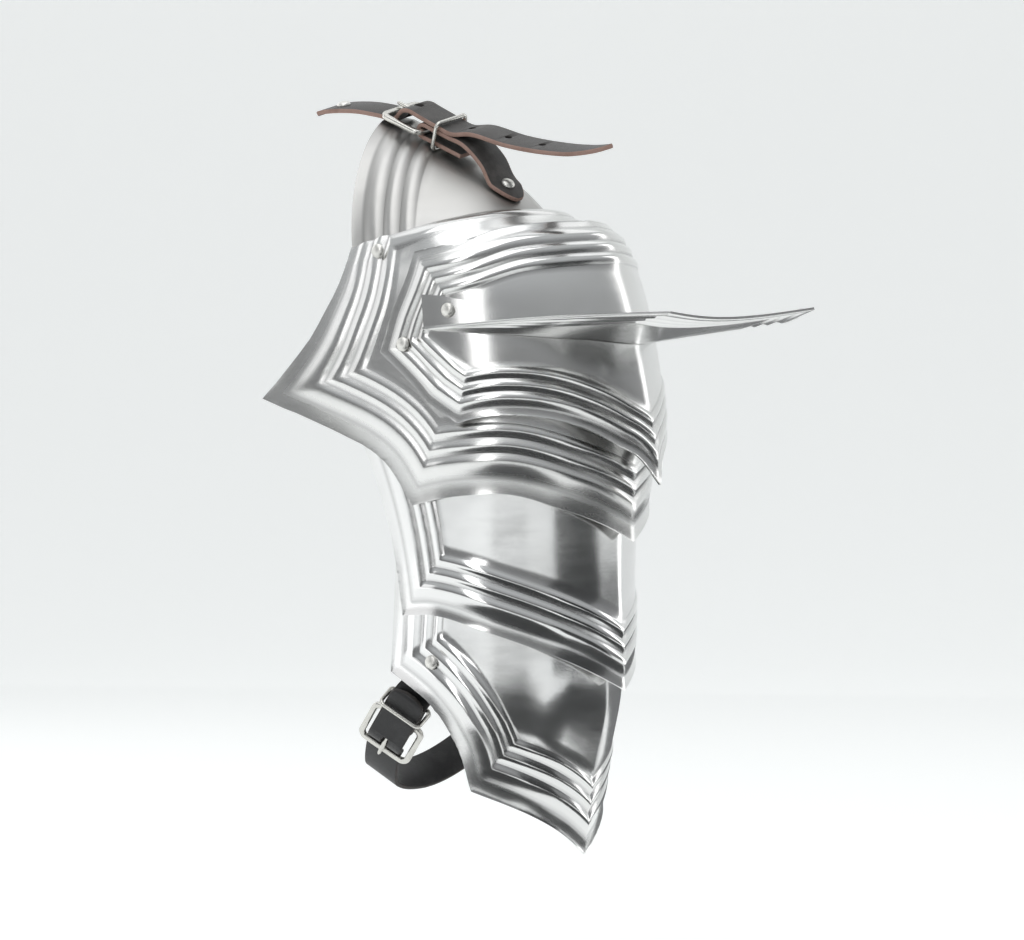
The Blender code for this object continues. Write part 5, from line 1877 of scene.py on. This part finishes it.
@dataclass
class Plates:
    """All the ridged plates.

    Attributes:
        body: Sleeve of the arm plates.
        cap: Sleeve of the cap.
        cap_front: Girths of the cap's front edge.
    """

    body: Sleeve = field(default_factory=Sleeve.body)
    cap: Sleeve = field(default_factory=Sleeve.cap)
    cap_front: tuple = (0.93, 0.96, 0.99)

    def outline(self, top: Sequence, bottom: Sequence, front: Sequence) -> tuple:
        """Edges of a plate of the arm."""
        return (level_edge(self.body, top), level_edge(self.body, bottom),
                front_edge(self.body, front))

    def arm_rivet(self) -> Array:
        """Place of the arm strap's front rivet, on the lower lame.

        Returns:
            The point.
        """
        run = self.body.run_at(-ARM_RIVET[1] * DROP)
        girth = self.body.girth_at(ARM_RIVET[0] * REACH, run)
        return self.body.point(girth, run) + self.body.normal(girth, run) * LOWER_LAME_OFFSET

    def build(self) -> Plate:
        """Make the plates.

        Returns:
            The guard plate, which carries the flange.
        """
        last = self.cap.runs[-1]
        cap_front = [(np.array(self.cap_front), np.array((0.0, last / 2, last)))]
        Plate("shoulder_cap", "cap", Finish.SATIN, self.cap, lambda girth: 0 * girth,
              lambda girth: 0 * girth + last, cap_front,
              (band(CAP_RIDGES), PLAIN_BAND, (PLAIN_BAND,) * 3), 0.0, 0.0, (12, 12), 44).build()
        wing, near = band(WING_RIDGES), band(WING_SHOULDER_RIDGES)
        Plate("wing_plate", "wing", Finish.WING, self.body,
              *self.outline(WING_TOP, WING_BOTTOM, WING_FRONT),
              (last_ridge_band(WING_TOP_RIDGE), wing, (near, wing, wing)), 0.0, 3.0).build()
        ring = band(GUARD_RIDGES)
        guard = Plate("guard_plate", "guard", Finish.GUARD, self.body,
                      *self.outline(GUARD_TOP, GUARD_BOTTOM, GUARD_FRONT),
                      (ring, ring, (ring,) * 3), GUARD_OFFSET, GUARD_KICK)
        guard.build()
        ring = band(UPPER_LAME_RIDGES)
        Plate("upper_arm_lame", "wing", Finish.LAME, self.body,
              *self.outline(UPPER_LAME_TOP, UPPER_LAME_BOTTOM, UPPER_LAME_FRONT),
              (PLAIN_BAND, ring, (ring,) * 3), UPPER_LAME_OFFSET, 4.5, (12, 6)).build()
        ring = band(LOWER_LAME_RIDGES)
        Plate("lower_arm_lame", "wing", Finish.LAME, self.body,
              *self.outline(LOWER_LAME_TOP, LOWER_LAME_BOTTOM, LOWER_LAME_FRONT),
              (PLAIN_BAND, ring, (ring,) * 3), LOWER_LAME_OFFSET, 0.0, (12, 9)).build()
        return guard


@dataclass
class InnerLeathers:
    """The two hidden leathers that carry the lames, softened from their solids.

    Attributes:
        names: Names of their solids.
        arris: Width of their rounded edges in metres.
        corner: Angle in degrees above which an edge is rounded.
    """

    names: tuple = ("articulation_leather_front", "articulation_leather_back")
    arris: float = 0.0004
    corner: float = 60.0

    def build(self) -> None:
        """Copy each solid, join its loose triangles and round its edges."""
        for name in self.names:
            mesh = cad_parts[name].data.copy()
            shape = bmesh.new()
            shape.from_mesh(mesh)
            bmesh.ops.remove_doubles(shape, verts=shape.verts, dist=1e-6)
            bmesh.ops.dissolve_limit(shape, angle_limit=math.radians(1), verts=shape.verts,
                                     edges=shape.edges)
            sharp = [edge for edge in shape.edges if len(edge.link_faces) == 2
                     and edge.calc_face_angle() > math.radians(self.corner)]
            bmesh.ops.bevel(shape, geom=sharp, offset=self.arris, segments=2, affect="EDGES",
                            profile=0.5)
            shape.to_mesh(mesh)
            shape.free()
            mesh.materials.clear()
            mesh.materials.append(material_of(Finish.BLACK))
            shade_smooth(mesh, 35)
            settle(add_object(name + "_leather", mesh), "wing", "black_leather", name)


@dataclass
class Studio:
    """Pale paper sweep, soft lights and the camera.

    Attributes:
        azimuth: Camera's turn from straight in front, in degrees.
        distance: Camera's distance from the arm's axis, in metres.
        height: Camera's height.
        lens: Focal length.
        aim: Point that the camera and the lights face.
        floor: Height of the floor.
        sweep_near: Where the sweep starts, on the camera's side.
        sweep_start: Where it starts to curve up.
        sweep_bend: Radius of that curve.
        sweep_half: Half of its width.
        sweep_rise: Height of its top.
        lamps: Name, turn from the camera and elevation in degrees, distance, size of the
            face and power of each light.
        cards: Name, turn from the camera in degrees, distance, rise above the floor, size,
            whether it lies flat, and paper of each card.
        air: Colour of the surroundings by height.
        air_strength: Brightness of the surroundings.
    """

    azimuth: float = 33.0
    distance: float = 2.4
    height: float = -0.116
    lens: float = 170.0
    aim: tuple = (0.010, -0.010, -0.144)
    floor: float = -0.40
    sweep_near: float = -4.5
    sweep_start: float = 2.7
    sweep_bend: float = 1.1
    sweep_half: float = 7.0
    sweep_rise: float = 5.0
    lamps: tuple = (
        ("key_softbox", -18, 24, 2.6, (0.6, 2.0), 9.0),
        ("rim_softbox", 112, 16, 2.2, (0.35, 1.8), 4.0),
        ("side_softbox", -128, 20, 2.0, (1.8, 1.6), 7.5),
        ("left_softbox", -84, 8, 2.2, (1.3, 1.6), 5.0),
        ("top_softbox", -20, 74, 1.8, (1.5, 1.5), 9.0),
        ("sweep_light", 180, 62, 2.4, (3.0, 1.2), 7.0),
    )
    cards: tuple = (
        ("right_card", 61, 1.3, 0.28, (0.9, 0.6), False, Finish.CARD),
        ("floor_card_right", 80, 0.64, 0.003, (0.7, 0.7), True, Finish.CARD),
        ("floor_card_front", 4, 0.66, 0.004, (0.55, 1.0), True, Finish.CARD),
        ("floor_card_back", 168, 1.5, 0.005, (2.2, 2.0), True, Finish.GREY_CARD),
    )
    air: tuple = ((0.0, (0.45, 0.46, 0.45)), (0.45, (0.20, 0.205, 0.20)),
                  (0.56, (0.24, 0.245, 0.25)), (0.8, (0.62, 0.64, 0.65)))
    air_strength: float = 0.8

    def sweep(self) -> None:
        """Floor that curves up into a backdrop behind the pauldron."""
        turn = math.radians(self.azimuth)
        away = np.array((-math.sin(turn), math.cos(turn), 0.0))
        side = np.array((math.cos(turn), math.sin(turn), 0.0))
        start, bend = self.sweep_start, self.sweep_bend
        profile = [(self.sweep_near, 0.0), (start, 0.0)]
        profile += [(start + bend * math.sin(a), bend - bend * math.cos(a))
                    for a in np.radians(np.linspace(8, 90, 14))]
        profile += [(start + bend, self.sweep_rise)]
        vertices = [(away * reach + side * across + np.array((0, 0, self.floor + rise))) / MM
                    for reach, rise in profile for across in (-self.sweep_half, self.sweep_half)]
        faces = [(2 * k, 2 * k + 1, 2 * k + 3, 2 * k + 2) for k in range(len(profile) - 1)]
        item = add_piece("paper_sweep", vertices, faces, [Finish.FLOOR])

    def lamp(self, name: str, turn: float, rise: float, distance: float, size: tuple,
             power: float) -> None:
        """One soft light that faces the pauldron.

        Args:
            name: Its name.
            turn: Azimuth in degrees.
            rise: Elevation in degrees.
            distance: Distance in metres.
            size: Width and height of its face.
            power: Power in watts.
        """
        light = bpy.data.lights.new(name, "AREA")
        light.shape = "RECTANGLE"
        light.size, light.size_y = size
        light.energy = power
        a, e = math.radians(turn), math.radians(rise)
        back = Vector((math.sin(a) * math.cos(e), -math.cos(a) * math.cos(e), math.sin(e)))
        item = add_object(name, light)
        item.visible_camera = False
        item.location = Vector(self.aim) + back * distance
        item.rotation_euler = back.to_track_quat("Z", "Y").to_euler()

    def card(self, name: str, turn: float, distance: float, height: float, size: tuple,
             flat: bool, finish: Finish) -> None:
        """One card that only the steel's reflections see.

        Args:
            name: Its name.
            turn: Azimuth in degrees.
            distance: Level distance of its middle in metres.
            height: Height of its middle in metres.
            size: Width and height.
            flat: Whether it lies flat or stands facing the pauldron.
            finish: Its paper.
        """
        a = math.radians(turn)
        out = np.array((math.sin(a), -math.cos(a), 0.0))
        side = np.array((math.cos(a), math.sin(a), 0.0))
        up = out if flat else np.array((0.0, 0.0, 1.0))
        centre = np.array((self.aim[0], self.aim[1], height)) + out * distance
        corners = [(centre + side * x * size[0] / 2 + up * y * size[1] / 2) / MM
                   for x, y in ((-1, -1), (1, -1), (1, 1), (-1, 1))]
        item = add_piece(name, corners, [(0, 1, 2, 3)], [finish])
        item.visible_camera = item.visible_diffuse = item.visible_shadow = False

    def surroundings(self) -> None:
        """Soft air around the studio, darker at the height of the pauldron."""
        world = bpy.data.worlds.new("studio_air")
        world.use_nodes = True
        tree = Tree(world.node_tree)
        way = tree.make("ShaderNodeTexCoord", out="Generated")
        height = tree.make("ShaderNodeSeparateXYZ", None, {0: way}, "Z")
        ramp = tree.make("ShaderNodeValToRGB", {"stops": self.air}, {"Fac": height * 0.5 + 0.5})
        air = world.node_tree.nodes["Background"]
        world.node_tree.links.new(ramp.link, air.inputs["Color"])
        air.inputs["Strength"].default_value = self.air_strength
        bpy.context.scene.world = world

    def camera(self) -> None:
        """Camera at the photograph's viewing angle."""
        lens = bpy.data.cameras.new("camera")
        lens.lens = self.lens
        lens.sensor_width = 36.0
        lens.clip_start = 0.05
        item = add_object("camera", lens)
        turn = math.radians(self.azimuth)
        item.location = (math.sin(turn) * self.distance, -math.cos(turn) * self.distance,
                         self.height)
        look = Vector(self.aim) - item.location
        item.rotation_euler = look.to_track_quat("-Z", "Y").to_euler()
        bpy.context.scene.camera = item

    def build(self) -> None:
        """Make the sweep, the lights, the cards, the surroundings and the camera."""
        self.sweep()
        for name, turn, *rest in self.lamps:
            self.lamp(name, self.azimuth + turn, *rest)
        for name, turn, distance, rise, *rest in self.cards:
            self.card(name, self.azimuth + turn, distance, self.floor + rise, *rest)
        self.surroundings()
        self.camera()
        bpy.context.scene.view_settings.view_transform = "Standard"


def rivet_pairs(stems: Sequence[str], dome: float) -> dict:
    """Front and back rivets, which point straight forward and back.

    Args:
        stems: First words of their solids' names.
        dome: Height of their heads.

    Returns:
        Direction and dome by the name of each solid.
    """
    ways = {"front": (0.0, -1.0, 0.0), "back": (0.0, 1.0, 0.0)}
    return {stem + "_" + side: (way, dome) for stem in stems for side, way in ways.items()}


def rivet_sets(tilted: dict) -> list:
    """The rivets of each body.

    Args:
        tilted: Directions and domes of the rivets that don't point straight forward or back.

    Returns:
        One set for each body.
    """
    leather = ("leather_rivet_wing", "leather_rivet_upper", "leather_rivet_lower")
    wing = {**rivet_pairs(("guard_pivot", "arm_strap_rivet"), RIVET_DOME),
            **rivet_pairs(leather, LEATHER_RIVET_DOME)}
    return [RivetSet("cap", {**rivet_pairs(("wing_pivot",), RIVET_DOME), **tilted}),
            RivetSet("wing", wing),
            RivetSet("guard", rivet_pairs(("flange_rivet",), RIVET_DOME))]


def main() -> None:
    """Build every sub-assembly and the studio."""
    plates = Plates()
    guard = plates.build()
    SideFlange().build(guard)
    tilted = ShoulderStraps(plates.cap).build()
    ArmStraps(plates.arm_rivet()).build()
    InnerLeathers().build()
    for rivets in rivet_sets(tilted):
        rivets.build()
    Studio().build()
    bpy.context.view_layer.update()


if __name__ == "__main__":
    main()
